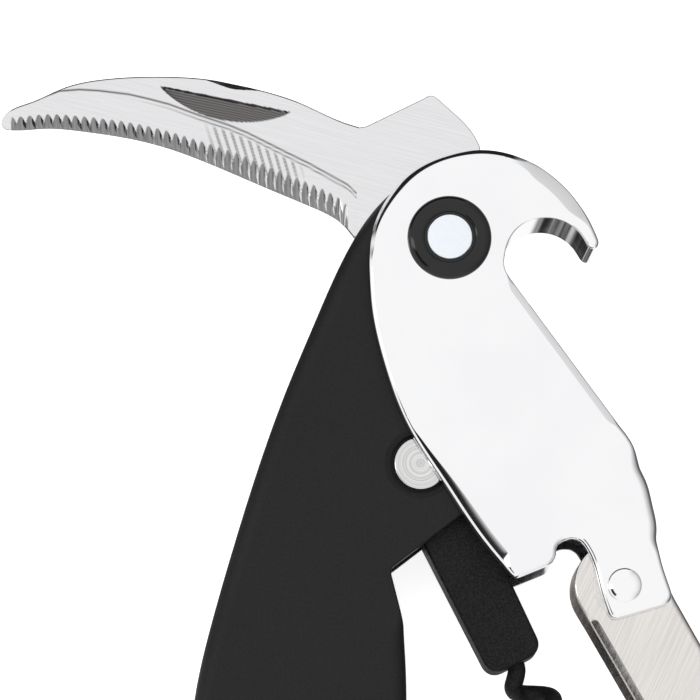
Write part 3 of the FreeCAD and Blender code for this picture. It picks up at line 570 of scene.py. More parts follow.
@dataclass(frozen=True)
class Finish:
    """One surface finish: the numbers of its shader and the effects that vary it.

    Attributes:
        name: The material's name.
        colour: The base colour, linear.
        shade: The second colour that smudges drift to.
        metallic: One for bare metal.
        rough: The roughness on clean stretches.
        rough_worn: The roughness where it is smudged.
        specular: The specular level.
        grain: Grain size as noise scale, per metre; nought for none.
        grain_depth: How far the grain stands out, in metres.
        lines: Scale of brushed lines, per metre; nought for none.
        lines_turn: Direction of the brushed lines, radians from +X.
        lines_depth: How far the lines stand out, in metres.
        rings_about: The centre of turned rings in millimetres, if any.
        coat: Weight of a clear gloss over the colour.
        painted_darkening: The dark colour that the piece's painted shade attribute leads to, if it
            has one.
    """

    name: str
    colour: tuple[float, float, float]
    shade: tuple[float, float, float]
    metallic: float = 0.0
    rough: float = 0.4
    rough_worn: float = 0.5
    specular: float = 0.5
    grain: float = 0.0
    grain_depth: float = 0.0
    lines: float = 0.0
    lines_turn: float = 0.0
    lines_depth: float = 0.0
    rings_about: Point | None = None
    coat: float = 0.0
    painted_darkening: tuple[float, float, float] | None = None

    def material(self, effects: Effects) -> bpy.types.Material:
        """The node material of this finish.

        Args:
            effects: The shared node groups.

        Returns:
            A material whose colour, roughness and bump all vary over the surface.
        """
        made = bpy.data.materials.new(self.name)
        made.use_nodes = True
        made.node_tree.nodes.clear()
        nodes = Nodes(made.node_tree)
        shader = nodes.add("ShaderNodeBsdfPrincipled")
        output = nodes.add("ShaderNodeOutputMaterial")
        nodes.join(shader.outputs[0], output.inputs[0])
        shader.inputs["Metallic"].default_value = self.metallic
        shader.inputs["Specular IOR Level"].default_value = self.specular
        shader.inputs["Coat Weight"].default_value = self.coat
        shader.inputs["Coat Roughness"].default_value = 0.08
        marks = nodes.add("ShaderNodeGroup", node_tree=effects.handling)
        rough = nodes.range(marks.outputs["Smudge"], 0.0, 1.0, self.rough, self.rough_worn, False)
        mark, height, depth = marks.outputs["Smudge"], None, self.lines_depth
        if self.grain:
            place = nodes.add("ShaderNodeTexCoord")
            noise = nodes.add("ShaderNodeTexNoise")
            noise.inputs["Scale"].default_value = self.grain
            noise.inputs["Detail"].default_value = 3.0
            nodes.join(place.outputs["Object"], noise.inputs["Vector"])
            height, depth = noise.outputs[0], self.grain_depth
        if self.lines:
            brushed = nodes.add("ShaderNodeGroup", node_tree=effects.brushing)
            brushed.inputs["Scale"].default_value = self.lines
            brushed.inputs["Turn"].default_value = self.lines_turn
            height = brushed.outputs["Lines"]
            rough = nodes.math("ADD", rough, nodes.range(height, 0.3, 0.7, -0.04, 0.08, False))
        if self.rings_about:
            turned = nodes.add("ShaderNodeGroup", node_tree=effects.turning)
            turned.inputs["Centre X"].default_value = self.rings_about[0] * MM
            turned.inputs["Centre Y"].default_value = self.rings_about[1] * MM
            height = turned.outputs["Rings"]
        if height is not None:
            mark = nodes.range(height, 0.36, 0.64)
            bump = nodes.add("ShaderNodeBump")
            bump.inputs["Distance"].default_value = depth
            bump.inputs["Strength"].default_value = 1.0
            nodes.join(height, bump.inputs["Height"])
            nodes.join(bump.outputs[0], shader.inputs["Normal"])
        nodes.join(rough, shader.inputs["Roughness"])
        tint = nodes.colour_between(mark, self.colour, self.shade)
        # painted shade: a piece with a painted shade attribute is darkened towards its painted dark
        # colour
        if self.painted_darkening:
            painted_shade = nodes.add("ShaderNodeAttribute", attribute_name="painted_shade")
            mix = nodes.add("ShaderNodeMix", data_type="RGBA")
            nodes.join(painted_shade.outputs["Fac"], mix.inputs[0])
            nodes.join(tint, mix.inputs[6])
            mix.inputs[7].default_value = (*self.painted_darkening, 1.0)
            tint = mix.outputs[2]
        nodes.join(tint, shader.inputs["Base Color"])
        return made


# The middle plane of the tool and the two outer pivots, in mm.
MIDDLE = 8.8
WORM_PIVOT = (-4.1, -32.6)
STEP_PIVOT = (25.2, -50.4)

CHROME = Finish("chrome", (0.93, 0.93, 0.94), (0.90, 0.90, 0.915), 1.0, 0.05, 0.09)
BODY_COAT = Finish("body_coat", (0.0085, 0.0085, 0.0095), (0.011, 0.011, 0.012), 0.0, 0.46, 0.55,
                   0.22, grain=2600.0, grain_depth=0.00002)
WORM_COAT = Finish("worm_coat", (0.002, 0.002, 0.0022), (0.013, 0.012, 0.0115), 0.0, 0.45, 0.6,
                   0.18, grain=3600.0, grain_depth=0.00010)
# painted shade: the blade's flutes, grind lines and nail nick are darkened towards the near-black
# brown below
BLADE_STEEL = Finish("blade_steel", (0.80, 0.80, 0.81), (0.76, 0.76, 0.775), 1.0, 0.10, 0.16,
                     lines=5200.0, lines_turn=0.25, lines_depth=0.0000015,
                     painted_darkening=(0.035, 0.028, 0.024))
STEP_STEEL = Finish("step_steel", (0.80, 0.775, 0.75), (0.70, 0.675, 0.65), 1.0, 0.13, 0.20,
                    lines=3400.0, lines_turn=2.0, lines_depth=0.000003)
PIN_STEEL = Finish("pin_steel", (0.80, 0.80, 0.795), (0.58, 0.58, 0.575), 1.0, 0.22, 0.30,
                   lines_depth=0.00002, rings_about=WORM_PIVOT)
SPRING_STEEL = Finish("spring_steel", (0.50, 0.50, 0.52), (0.42, 0.42, 0.44), 1.0, 0.28, 0.36,
                      lines=3000.0, lines_turn=1.57, lines_depth=0.000003)
BUSH_BRASS = Finish("bush_brass", (0.72, 0.50, 0.22), (0.60, 0.40, 0.17), 1.0, 0.28, 0.40,
                    lines=3000.0, lines_depth=0.000003)
EYE_BLACK = Finish("eye_black", (0.006, 0.006, 0.007), (0.008, 0.008, 0.009), 0.0, 0.05, 0.09, 0.38)
EYE_WHITE = Finish("eye_white", (0.75, 0.79, 0.83), (0.735, 0.775, 0.815), 0.0, 0.32, 0.40, 0.3,
                   grain=1800.0, grain_depth=0.000002)
POLYMER = Finish("polymer", (0.70, 0.69, 0.66), (0.64, 0.63, 0.60), 0.0, 0.5, 0.6, 0.4,
                 grain=2500.0, grain_depth=0.00001)
FINISHES = (CHROME, BODY_COAT, WORM_COAT, BLADE_STEEL, STEP_STEEL, PIN_STEEL,
            SPRING_STEEL, BUSH_BRASS, EYE_BLACK, EYE_WHITE, POLYMER)


class Wardrobe:
    """Every finish made into a material, and the steps that give a piece its dress and body."""

    def __init__(self) -> None:
        """Makes the materials."""
        effects = Effects()
        self.materials = {finish.name: finish.material(effects) for finish in FINISHES}

    def dress(self, piece: bpy.types.Object, finish: Finish, body: str, *nodes: str) -> None:
        """Gives a new piece its material, its body and the nodes it stands for.

        Args:
            piece: The finished object.
            finish: What it is covered with.
            body: The moving body it belongs to.
            nodes: The coarser nodes it replaces.
        """
        piece.data.materials.clear()
        piece.data.materials.append(self.materials[finish.name])
        if nodes:
            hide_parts(*nodes)
        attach(piece, body)
        log.info("%s: %d faces, rides on %s", piece.name, len(piece.data.polygons), body)

    def dress_node(self, piece: bpy.types.Object, finish: Finish) -> None:
        """Puts a finish on a node whose own shape stays."""
        for place in piece.material_slots:
            place.material = self.materials[finish.name]
        log.info("%s keeps its shape in %s", piece.name, finish.name)


# ---------------------------------------------------------------- sub-assemblies



def mirrored(section: list[Point]) -> list[Point]:
    """A turned section carried to the rear side, its points still running upwards."""
    return [(radius, 2 * MIDDLE - height) for radius, height in reversed(section)]


def moved(points: list[Point], degrees: float, centre: Point) -> tuple[Point, ...]:
    """Points turned about the origin and carried to a centre."""
    cosine, sine = math.cos(math.radians(degrees)), math.sin(math.radians(degrees))
    return tuple((centre[0] + cosine * x - sine * y, centre[1] + sine * x + cosine * y)
                 for x, y in points)


def round_cutter(name: str, centre: Point, radius: float, low: float,
                 high: float) -> bpy.types.Object:
    """An upright cylinder for cutting."""
    return turned_solid(name, [(radius, low), (radius, high)], centre, 96)


@dataclass
class Lever:
    """The bird-head lever: two plates joined by the beak and the spine.

    Attributes:
        low: Height of its rear face.
        high: Height of its front face.
        gap: Lowest and highest height of the space between the plates.
    """

    low: float = 1.2
    high: float = 16.4
    gap: tuple[float, float] = (3.0, 14.6)
    wall: float = 1.6
    gap_round: float = 6.6
    beak_angle: float = 36.0
    outline: list[Stroke] = field(default_factory=lambda: [
        curve((-11.6, -4.6), (-11.3, 0.3), (-9.6, 4.9), (-5.8, 9.6), (-0.2, 12.3), (5.3, 13.1),
              (10.2, 12.1), (16.0, 8.5), (20.2, 3.1), (21.7, -0.2)),
        bend((21.7, -0.2), (21.2, -1.4), (20.1, -1.2)),
        curve((20.1, -1.2), (18.9, 0.8), (16.4, 2.6), (13.4, 3.0), (10.4, 1.9), (8.5, -0.6),
              (7.9, -3.4)),
        bend((7.9, -3.4), (8.1, -4.6), (8.8, -5.7)),
        line((8.8, -5.7), (24.6, -27.2)),
        curve((24.6, -27.2), (26.5, -29.9), (27.6, -33.3)),
        curve((27.6, -33.3), (28.6, -35.4), (29.5, -39.0), (30.0, -41.6), (29.9, -43.7)),
        curve((29.9, -43.7), (30.6, -47.0), (31.9, -51.0)),
        bend((31.9, -51.0), (31.9, -52.4), (30.8, -53.3)),
        line((30.8, -53.3), (24.4, -55.2)),
        bend((24.4, -55.2), (23.4, -55.2), (22.9, -54.6)),
        curve((22.9, -54.6), (21.6, -50.6), (20.4, -46.3), (19.4, -44.5)),
        bend((19.4, -44.5), (18.5, -43.8), (17.4, -43.7)),
        bend((17.4, -43.7), (16.1, -44.1), (15.3, -45.1)),
        bend((15.3, -45.1), (15.2, -46.6), (14.3, -47.5)),
        line((14.3, -47.5), (9.9, -49.3)),
        bend((9.9, -49.3), (9.3, -49.4), (8.8, -49.0)),
        curve((8.8, -49.0), (4.4, -43.7), (-1.4, -35.0), (-6.0, -27.6), (-9.6, -18.0),
              (-11.2, -10.8), (-11.6, -4.6)),
    ])

    def rim(self, loop: Loop) -> Rim:
        """The edge: soft round the head, let in as facets on the beak, the spine and the back."""
        radius = np.full(len(loop.points), 0.8)
        facet = np.zeros(len(loop.points))
        slope = np.full(len(loop.points), 24.0)
        back = loop.zone((-6.0, -27.6), (8.3, -48.6), 2.4) * loop.zone((-7.6, -23.5), (26.0, -45.0),
                                                                       22.0)
        crown = loop.zone((13.0, 10.6), (-11.6, -4.0), 3.0)
        swell = loop.zone((0.0, 12.4), (-11.3, 0.3), 9.0)
        beak = loop.zone((20.9, 1.4), (9.6, 12.4), 5.0)
        spine = loop.zone((24.4, -27.0), (9.0, -6.0), 1.2)
        dent = loop.zone((30.2, -46.0), (26.2, -30.0), 3.0)
        mouth = loop.zone((9.0, -6.0), (20.3, -1.3), 0.8)
        radius += 0.75 * crown + 0.8 * swell + 0.4 * back + 0.9 * dent
        radius += (0.28 - radius) * np.maximum(mouth, np.maximum(0.9 * spine, 0.75 * beak))
        facet += 2.0 * beak + 0.95 * spine + 1.05 * back
        slope += 2.0 * beak - 4.0 * back
        return Rim(radius, facet, slope).eased(loop)

    def gap_cutter(self) -> bpy.types.Object:
        """The space between the plates: round the body's head, along the spine and open below."""
        start, end = np.array([8.8, -5.7]), np.array([24.6, -27.2])
        along = (end - start) / np.linalg.norm(end - start)
        inward = np.array([along[1], -along[0]])
        foot = start + inward * self.wall
        off = foot @ np.array([-along[1], along[0]])
        meeting = foot - along * (foot @ along - math.sqrt(self.gap_round**2 - off**2))
        last = end + inward * self.wall
        outer = last - inward * 12.0
        turn = math.radians(self.beak_angle)
        edge = (math.cos(turn), math.sin(turn))
        rounded = [(self.gap_round * edge[0], self.gap_round * edge[1]), (self.gap_round, 0.0),
                   tuple(meeting)]
        return prism("lever_gap", [
            bend(*rounded),
            line(tuple(meeting), tuple(last), tuple(outer), (70.0, -70.0), (-70.0, -70.0),
                 (-70.0, 70.0), (70.0 * edge[0], 70.0 * edge[1]), rounded[0]),
        ], *self.gap)

    def build(self, wardrobe: Wardrobe) -> None:
        """Makes the casting, hollows it and dresses it."""
        loop = Loop.drawn(self.outline)
        rim = self.rim(loop)
        piece = slab("lever_casting", loop, self.low, self.high, rim, rim)
        cut_away(piece, [self.gap_cutter(), round_cutter("pivot_hole", (0.0, 0.0), 2.55, 0.0, 18.0),
                         round_cutter("rivet_hole", STEP_PIVOT, 1.95, 0.0, 18.0)])
        wardrobe.dress(shaded(piece), CHROME, "lever", "lever")


@dataclass
class Eye:
    """The glossy ring with a raised round rim and the white disc set in it, on either side.

    Attributes:
        seat: Height of the plate it is seated on.
        top: Height of its rim.
    """

    seat: float = 16.4
    top: float = 17.6
    inner: float = 3.25
    flat: float = 3.65
    outer: float = 6.1

    def ring_section(self) -> list[Point]:
        """From the seat's inside up, over the sunk flat and the round rim, and down outside."""
        crest = self.flat + 0.85
        inside = [(self.flat + 0.85 * (1 - math.cos(t)), self.top - 0.42 + 0.42 * math.sin(t))
                  for t in np.linspace(0.0, math.pi / 2, 9)]
        outside = [(crest + (self.outer - crest) * math.sin(t), self.top - 1.1 * (1 - math.cos(t)))
                   for t in np.linspace(0.0, math.pi / 2, 13)[1:]]
        return [(self.inner, self.seat), (self.inner, self.top - 0.42),
                *inside, *outside, (self.outer, self.seat)]

    def disc_section(self) -> list[Point]:
        """A flat disc with softened edges."""
        low = self.seat + 0.6
        return [(0.02, low), (3.2, low), (3.2, self.top - 0.12),
                *corner((3.08, self.top - 0.12), 0.12, 15.0, 90.0, 5), (0.02, self.top)]

    def build(self, wardrobe: Wardrobe) -> None:
        """Makes both rings and both discs."""
        for side in ("front", "rear"):
            ring = self.ring_section()
            disc = self.disc_section()
            if side == "rear":
                ring, disc = mirrored(ring), mirrored(disc)
            band = lathe_ring(side + "_eye_band", ring, (0.0, 0.0))
            wardrobe.dress(shaded(band, 40.0), EYE_BLACK, "lever", side + "_eye_ring")
            white = turned_solid(side + "_eye_white", disc, (0.0, 0.0))
            wardrobe.dress(shaded(white, 40.0), EYE_WHITE, "lever", side + "_eye_disc")


def lathe_ring(name: str, section: list[Point], centre: Point,
               sides: int = 160) -> bpy.types.Object:
    """A ring turned about an upright axis: its section's last point joins its first."""
    radius, height = np.array(section, dtype=float).T
    angle = np.linspace(0.0, 2 * np.pi, sides, endpoint=False)
    points = np.stack([
        centre[0] + radius[:, None] * np.cos(angle),
        centre[1] + radius[:, None] * np.sin(angle),
        np.broadcast_to(height[:, None], (len(section), sides)),
    ], axis=-1)
    closed = np.concatenate([points, points[:1]])
    rows = len(section)
    faces = band_faces(rows + 1, sides) % (rows * sides)
    return new_mesh_piece(name, closed[:-1].reshape(-1, 3), [tuple(f) for f in faces.tolist()])


@dataclass
class Handle:
    """The two coated body halves that meet in the middle plane."""

    low: float = 3.3
    high: float = 14.3
    outline: list[Stroke] = field(default_factory=lambda: [
        bend((1.605, 5.989), (5.926, 1.823), (3.985, -4.749)),
        curve((3.985, -4.749), (3.4, -8.0), (4.6, -15.0), (5.9, -24.0), (5.4, -33.0), (2.0, -39.9)),
        line((2.0, -39.9), (-8.5, -48.0), (-6.5, -55.9)),
        curve((-6.5, -55.9), (-6.1, -63.0), (-6.2, -77.0), (-7.0, -92.0), (-9.4, -106.0),
              (-12.0, -118.0), (-14.6, -128.5)),
        bend((-14.6, -128.5), (-21.8, -137.0), (-28.6, -128.5)),
        curve((-28.6, -128.5), (-31.4, -117.5), (-34.2, -104.0), (-36.4, -91.0), (-37.2, -78.0),
              (-36.4, -66.0), (-34.2, -55.9), (-31.6, -46.6), (-27.9, -34.5), (-23.1, -21.0),
              (-19.7, -12.8), (-16.8, -6.0), (-14.2, -0.7), (-10.1, 5.3), (-5.3, 9.7)),
        curve((-5.3, 9.7), (-3.4, 10.2), (-1.2, 9.0), (1.605, 5.989)),
    ])

    def rims(self, loop: Loop) -> tuple[Rim, Rim]:
        """The outer edge, broad but for the notch, and the fine break at the parting line."""
        radius = np.full(len(loop.points), 2.6)
        notch = loop.zone((-6.4, -58.0), (5.0, -36.0), 4.0)
        head = loop.zone((5.5, -30.0), (-6.0, 9.2), 10.0)
        radius += (0.45 - 2.6) * notch
        radius -= 1.2 * head
        facet = np.zeros(len(loop.points))
        outer = Rim(radius, facet, np.full(len(loop.points), 45.0)).eased(loop)
        return outer, Rim.even(loop, 0.12)

    def cutters(self, side: str) -> list[bpy.types.Object]:
        """The spaces for the blade, the worm's hub, the pins and the head recess."""
        folded = moved(list(Blade.edge_line[:10]), 81.2, (0.0, 0.0))
        blade = prism("blade_room", [
            bend((3.671, 5.243), (6.4, 0.0), (0.558, -6.376)),
            line((0.558, -6.376), folded[0]),
            Stroke(Kind.CURVE, folded),
            line(folded[-1], (6.6, -70.2), (-60.0, -62.2), (-60.0, 24.0), (12.0, 24.0),
                 (3.671, 5.243)),
        ], MIDDLE - 0.95, MIDDLE + 0.95)
        hub = prism("hub_room", [
            bend((-9.47, -33.16), (-6.8, -27.92), (-0.93, -28.23)),
            line((-0.93, -28.23), (13.63, -38.81), (13.63, -54.0), (-4.5, -49.0), (-8.5, -48.0),
                 (-9.47, -33.16)),
        ], MIDDLE - 3.4, MIDDLE + 3.4)
        bores = [round_cutter("pivot_bore", (0.0, 0.0), 2.55, 0.0, 18.0),
                 round_cutter("worm_bore", WORM_PIVOT, 2.05, 0.0, 18.0)]
        sink = [(0.02, self.high - 1.35), (4.25, self.high - 1.35), (4.3, self.high - 0.62),
                (5.15, self.high - 0.04), (5.45, self.high + 1.0), (0.02, self.high + 1.0)]
        if side == "rear":
            sink = mirrored(sink)
            for place in ((2.7, -18.0), (-15.0, -50.0), (-13.5, -90.0), (-21.4, -126.0)):
                well = [(1.95, 1.0), (1.95, 4.9)]
                bores.append(turned_solid("screw_well", well, place, 48))
        return [blade, hub, *bores, turned_solid("head_sink", sink, WORM_PIVOT, 128)]

    def build(self, wardrobe: Wardrobe) -> None:
        """Makes the front half and its mirror."""
        loop = Loop.drawn(self.outline, soft=0.4, step=0.3)
        outer, parting = self.rims(loop)
        front = slab("front_shell", loop, MIDDLE, self.high, outer, parting)
        rear = slab("rear_shell", loop, self.low, MIDDLE, parting, outer)
        for side, piece in (("front", front), ("rear", rear)):
            cut_away(piece, self.cutters(side))
            wardrobe.dress(shaded(piece), BODY_COAT, "body", side + "_body_half")


@dataclass
class Blade:
    """The foil cutter: ground and fluted on its front, with a nail nick under the spine."""

    low: float = 8.05
    high: float = 9.55
    columns: int = 460
    rows: int = 72
    spine_round: float = 0.45
    pitch: float = 1.35
    flute_depth: float = 0.42
    nick_depth: float = 0.62
    edge_line: tuple[Point, ...] = (
        (-13.4, 1.0), (-14.8, 2.7), (-19.8, 5.6), (-26.3, 8.3), (-33.1, 11.2), (-40.9, 14.1),
        (-47.3, 15.6), (-52.2, 16.3), (-58.7, 16.75), (-63.4, 16.5), (-64.55, 16.85),
        (-64.85, 17.5))
    spine_line: tuple[Point, ...] = (
        (-12.7, 17.25), (-14.4, 17.75), (-21.5, 20.85), (-27.9, 22.8), (-34.4, 24.1),
        (-42.5, 24.5), (-50.7, 23.95), (-55.6, 22.8), (-60.5, 20.6), (-64.3, 18.65),
        (-64.8, 17.9))
    grind_line: tuple[Point, ...] = (
        (-66.0, 18.6), (-60.5, 20.6), (-56.4, 22.2), (-53.5, 22.45), (-50.6, 22.3),
        (-46.3, 21.8), (-43.4, 21.15), (-40.5, 20.4), (-36.1, 18.8), (-31.8, 17.4), (-28.9, 16.2),
        (-23.1, 13.3), (-20.2, 11.9), (-14.4, 8.7), (-13.2, 7.5), (-12.0, 6.0))
    nick: tuple[Point, Point] = ((-41.8, 23.1), (-22.7, 19.35))
    nick_width: float = 3.2

    @staticmethod
    def spread(knots: tuple[Point, ...], count: int) -> np.ndarray:
        """Even points along the smooth curve through the knots, both ends included."""
        path = np.vstack([spline(np.array(knots)), knots[-1]])
        place = np.concatenate([[0.0], np.cumsum(np.linalg.norm(np.diff(path, axis=0), axis=1))])
        where = np.linspace(0.0, place[-1], count)
        return np.column_stack([np.interp(where, place, path[:, axis]) for axis in (0, 1)])

    def ground_depth(self, x: np.ndarray, y: np.ndarray, edge_y: np.ndarray) -> np.ndarray:
        """How far the hollow grind lies below the flat: it falls from the grind line to the edge.

        With s the share of the way from the line to the edge, the depth is 0.5 s(2 - s) and a
        fine groove along the line itself.
        """
        knots = np.array(self.grind_line)
        line_y = np.interp(x, knots[:, 0], knots[:, 1])
        share = np.clip((line_y - y) / np.maximum(line_y - edge_y, 0.3), 0.0, 1.0)
        finish = np.clip((-14.0 - x) / 1.8, 0.0, 1.0)
        groove = 0.07 * np.exp(-(((y - line_y) / 0.13) ** 2))
        return (0.46 * share * (2.0 - share) + groove) * finish

    def flutes(self, along: np.ndarray, above: np.ndarray, x: np.ndarray) -> np.ndarray:
        """Grooves across the edge: each one's depth falls with height and off its middle.

        Args:
            along: Distance along the edge.
            above: Distance above the edge.
            x: Place along the blade.

        Returns:
            The depth below the grind, never less than nought.
        """
        height = np.interp(x, (-62.0, -38.0, -30.0, -14.0), (2.0, 2.7, 3.3, 3.4))
        off = (along / self.pitch) % 1.0 - 0.5
        depth = self.flute_depth * (1.0 - above / height) - self.flute_depth * 2.2 * off**2
        reach = np.clip((-14.3 - x) / 0.6, 0.0, 1.0) * np.clip((x + 63.4) / 0.8, 0.0, 1.0)
        return np.maximum(depth, 0.0) * reach

    def nick_cut(self, x: np.ndarray, y: np.ndarray) -> np.ndarray:
        """The nail nick: a steep wall on top and a floor that curves up to the lower edge."""
        start, end = np.array(self.nick)
        along = (end - start) / np.linalg.norm(end - start)
        reach = np.linalg.norm(end - start)
        share = ((x - start[0]) * along[0] + (y - start[1]) * along[1]) / reach
        below = -((x - start[0]) * -along[1] + (y - start[1]) * along[0])
        inside = np.clip(share * (1.0 - share) * 4.0, 0.0, 1.0)
        width = self.nick_width * inside**0.85
        place = below / np.maximum(width, 1e-3)
        wall = np.clip(below / 0.16, 0.0, 1.0)
        floor = np.clip(1.0 - place**2, 0.0, 1.0)
        return np.where(below > 0.0, self.nick_depth * wall * floor * inside**0.35, 0.0)

    def painted_shade(self, x: np.ndarray, y: np.ndarray, flute: np.ndarray, nick: np.ndarray,
             along: np.ndarray) -> np.ndarray:
        """Painted shade and dark reflections on the steel, from nought on the polished flat to one.

        The flutes are painted dark with streaks across the edge, the grind line and a second line
        below it are fine painted dark lines, short slanted dashes lie between them and the flutes,
        and the nail nick's recess is painted dark with streaks along it.
        """
        knots = np.array(self.grind_line)
        line_y = np.interp(x, knots[:, 0], knots[:, 1])
        streak = 0.5 + 0.25 * np.sin(along * 29.0) + 0.25 * np.sin(along * 61.0 + 1.7)
        fluted = np.clip(flute / 0.012, 0.0, 1.0) * (0.60 + 0.18 * streak)
        first = 0.92 * np.exp(-(((y - line_y) / 0.14) ** 2))
        second_on = np.clip((x + 46.0) / 12.0, 0.0, 1.0)
        second = 0.75 * second_on * np.exp(-(((y - line_y + 0.62) / 0.11) ** 2))
        dash_on = np.clip((x + 35.5) / 2.0, 0.0, 1.0) * np.clip((-20.5 - x) / 2.0, 0.0, 1.0)
        dash_on = dash_on * np.clip((line_y - y - 0.8) / 0.3, 0.0, 1.0)
        dash = np.clip(np.sin((along + 0.35 * (line_y - y)) * 4.65) * 2.0, 0.0, 1.0)
        speck = 0.6 + 0.4 * np.sin(x * 41.0 + y * 17.0) * np.sin(y * 37.0)
        below = y + 0.2 * x
        nicked = np.clip(nick / 0.03, 0.0, 1.0) * (0.86 + 0.10 * np.sin(below * 16.0))
        return np.maximum.reduce([fluted, first, second, 0.8 * dash_on * dash * speck, nicked])

    def sections(self) -> tuple[np.ndarray, np.ndarray]:
        """Closed sections from tang to tip, up the front and down the rear, and the painted shade.
        """
        edge = self.spread(self.edge_line, self.columns)
        spine = self.spread(self.spine_line, self.columns)
        width = np.linalg.norm(spine - edge, axis=1)
        rim = np.array([0.45, 0.33, 0.22, 0.13, 0.06, 0.02, 0.0])
        main = np.linspace(0.0, 1.0, self.rows)[None] * (1.0 - rim[0] / width)[:, None]
        share = np.hstack([main, 1.0 - rim[None, 1:] / width[:, None]])
        flat = edge[:, None] + share[..., None] * (spine - edge)[:, None]
        x, y = flat[..., 0], flat[..., 1]
        above = share * width[:, None]
        from_spine = (1.0 - share) * width[:, None]
        steps = np.linalg.norm(np.diff(edge, axis=0), axis=1)
        along = np.concatenate([[0.0], np.cumsum(steps)])[:, None]
        away = np.clip(self.spine_round - from_spine, 0.0, self.spine_round)
        rounding = self.spine_round - np.sqrt(self.spine_round**2 - away**2)
        swedge = 0.98 * np.exp(-(((x + 31.2) / 3.6) ** 2))
        rounding = np.maximum(rounding, 0.72 * (swedge - from_spine))
        ground = self.ground_depth(x, y, edge[:, None, 1])
        flute, nick = self.flutes(along, above, x), self.nick_cut(x, y)
        front = ground + flute + nick
        # painted shade: the flutes, grind lines and nail nick are darkened in colour, standing in
        # for their shade and dark reflections
        shade = self.painted_shade(x, y, flute, nick, np.broadcast_to(along, x.shape))
        front = np.minimum(np.maximum(front, rounding), 0.70)
        rear = np.minimum(np.maximum(ground, rounding), 0.64)
        front_points = np.dstack([flat, self.high - front])
        rear_points = np.dstack([flat, self.low + rear])
        points = np.concatenate([front_points, rear_points[:, ::-1]], axis=1)
        return points, np.concatenate([shade, np.zeros_like(shade)], axis=1)

    def tang(self) -> tuple[Loop, Rim]:
        """The round tang and the heel, drawn up to the end of the ground part."""
        loop = Loop.drawn([
            line((-13.4, 1.0), (-12.7, 17.25)),
            bend((-12.7, 17.25), (-11.95, 17.3), (-11.1, 17.65)),
            line((-11.1, 17.65), (-3.1, 21.65)),
            bend((-3.1, 21.65), (-2.2, 22.0), (-1.4, 21.65)),
            curve((-1.4, 21.65), (1.5, 19.05), (3.9, 16.35), (4.9, 14.45)),
            curve((4.9, 14.45), (4.7, 12.6), (3.4, 9.0), (2.052, 5.638)),
            bend((2.052, 5.638), (3.857, -4.596), (-5.909, -1.042)),
            line((-5.909, -1.042), (-13.4, 1.0)),
        ], soft=0.12)
        join = loop.zone((-12.7, 17.25), (-13.4, 1.0), 0.3)
        radius = 0.01 + 0.24 * (1.0 - join)
        return loop, Rim(radius, np.zeros(len(radius)), np.full(len(radius), 45.0))

    def build(self, wardrobe: Wardrobe) -> None:
        """Makes the ground part and the tang as two pieces in one finish."""
        sections, shade = self.sections()
        piece = ring_solid("foil_blade", sections)
        # the painted shade map rides on the blade as a point attribute
        painted_darkening = piece.data.attributes.new("painted_shade", "FLOAT", "POINT")
        painted_darkening.data.foreach_set("value", shade.ravel().astype(np.float32))
        loop, rim = self.tang()
        tang = slab("blade_tang", loop, self.low, self.high, rim, rim)
        cut_away(tang, [round_cutter("tang_hole", (0.0, 0.0), 2.55, 7.0, 11.0)])
        wardrobe.dress(shaded(piece, 38.0), BLADE_STEEL, "blade", "blade")
        wardrobe.dress(shaded(tang, 38.0), BLADE_STEEL, "blade")


@dataclass
class WormPivot:
    """The headed pin that the worm's hub turns on."""

    high: float = 14.2
    head: float = 3.83
    shaft: float = 2.0

    def section(self) -> list[Point]:
        """From the middle plane up the shaft, under the head, round its edge and over its face."""
        under = self.high - 1.2
        return [(0.02, MIDDLE), (self.shaft, MIDDLE), (self.shaft, under), (self.head, under),
                (self.head, self.high - 0.3), *corner((self.head - 0.3, self.high - 0.3), 0.3,
                                                      10.0, 80.0, 4),
                (self.head - 0.34, self.high), (0.5, self.high), (0.4, self.high - 0.05),
                (0.02, self.high - 0.05)]

    def build(self, wardrobe: Wardrobe) -> None:
        """Makes the pin from the section and its mirror."""
        upper = self.section()
        lower = mirrored(upper)
        piece = turned_solid("worm_pin", lower[:-1] + upper[1:], WORM_PIVOT)
        wardrobe.dress(shaded(piece, 30.0), PIN_STEEL, "body", "worm_pivot_pin")


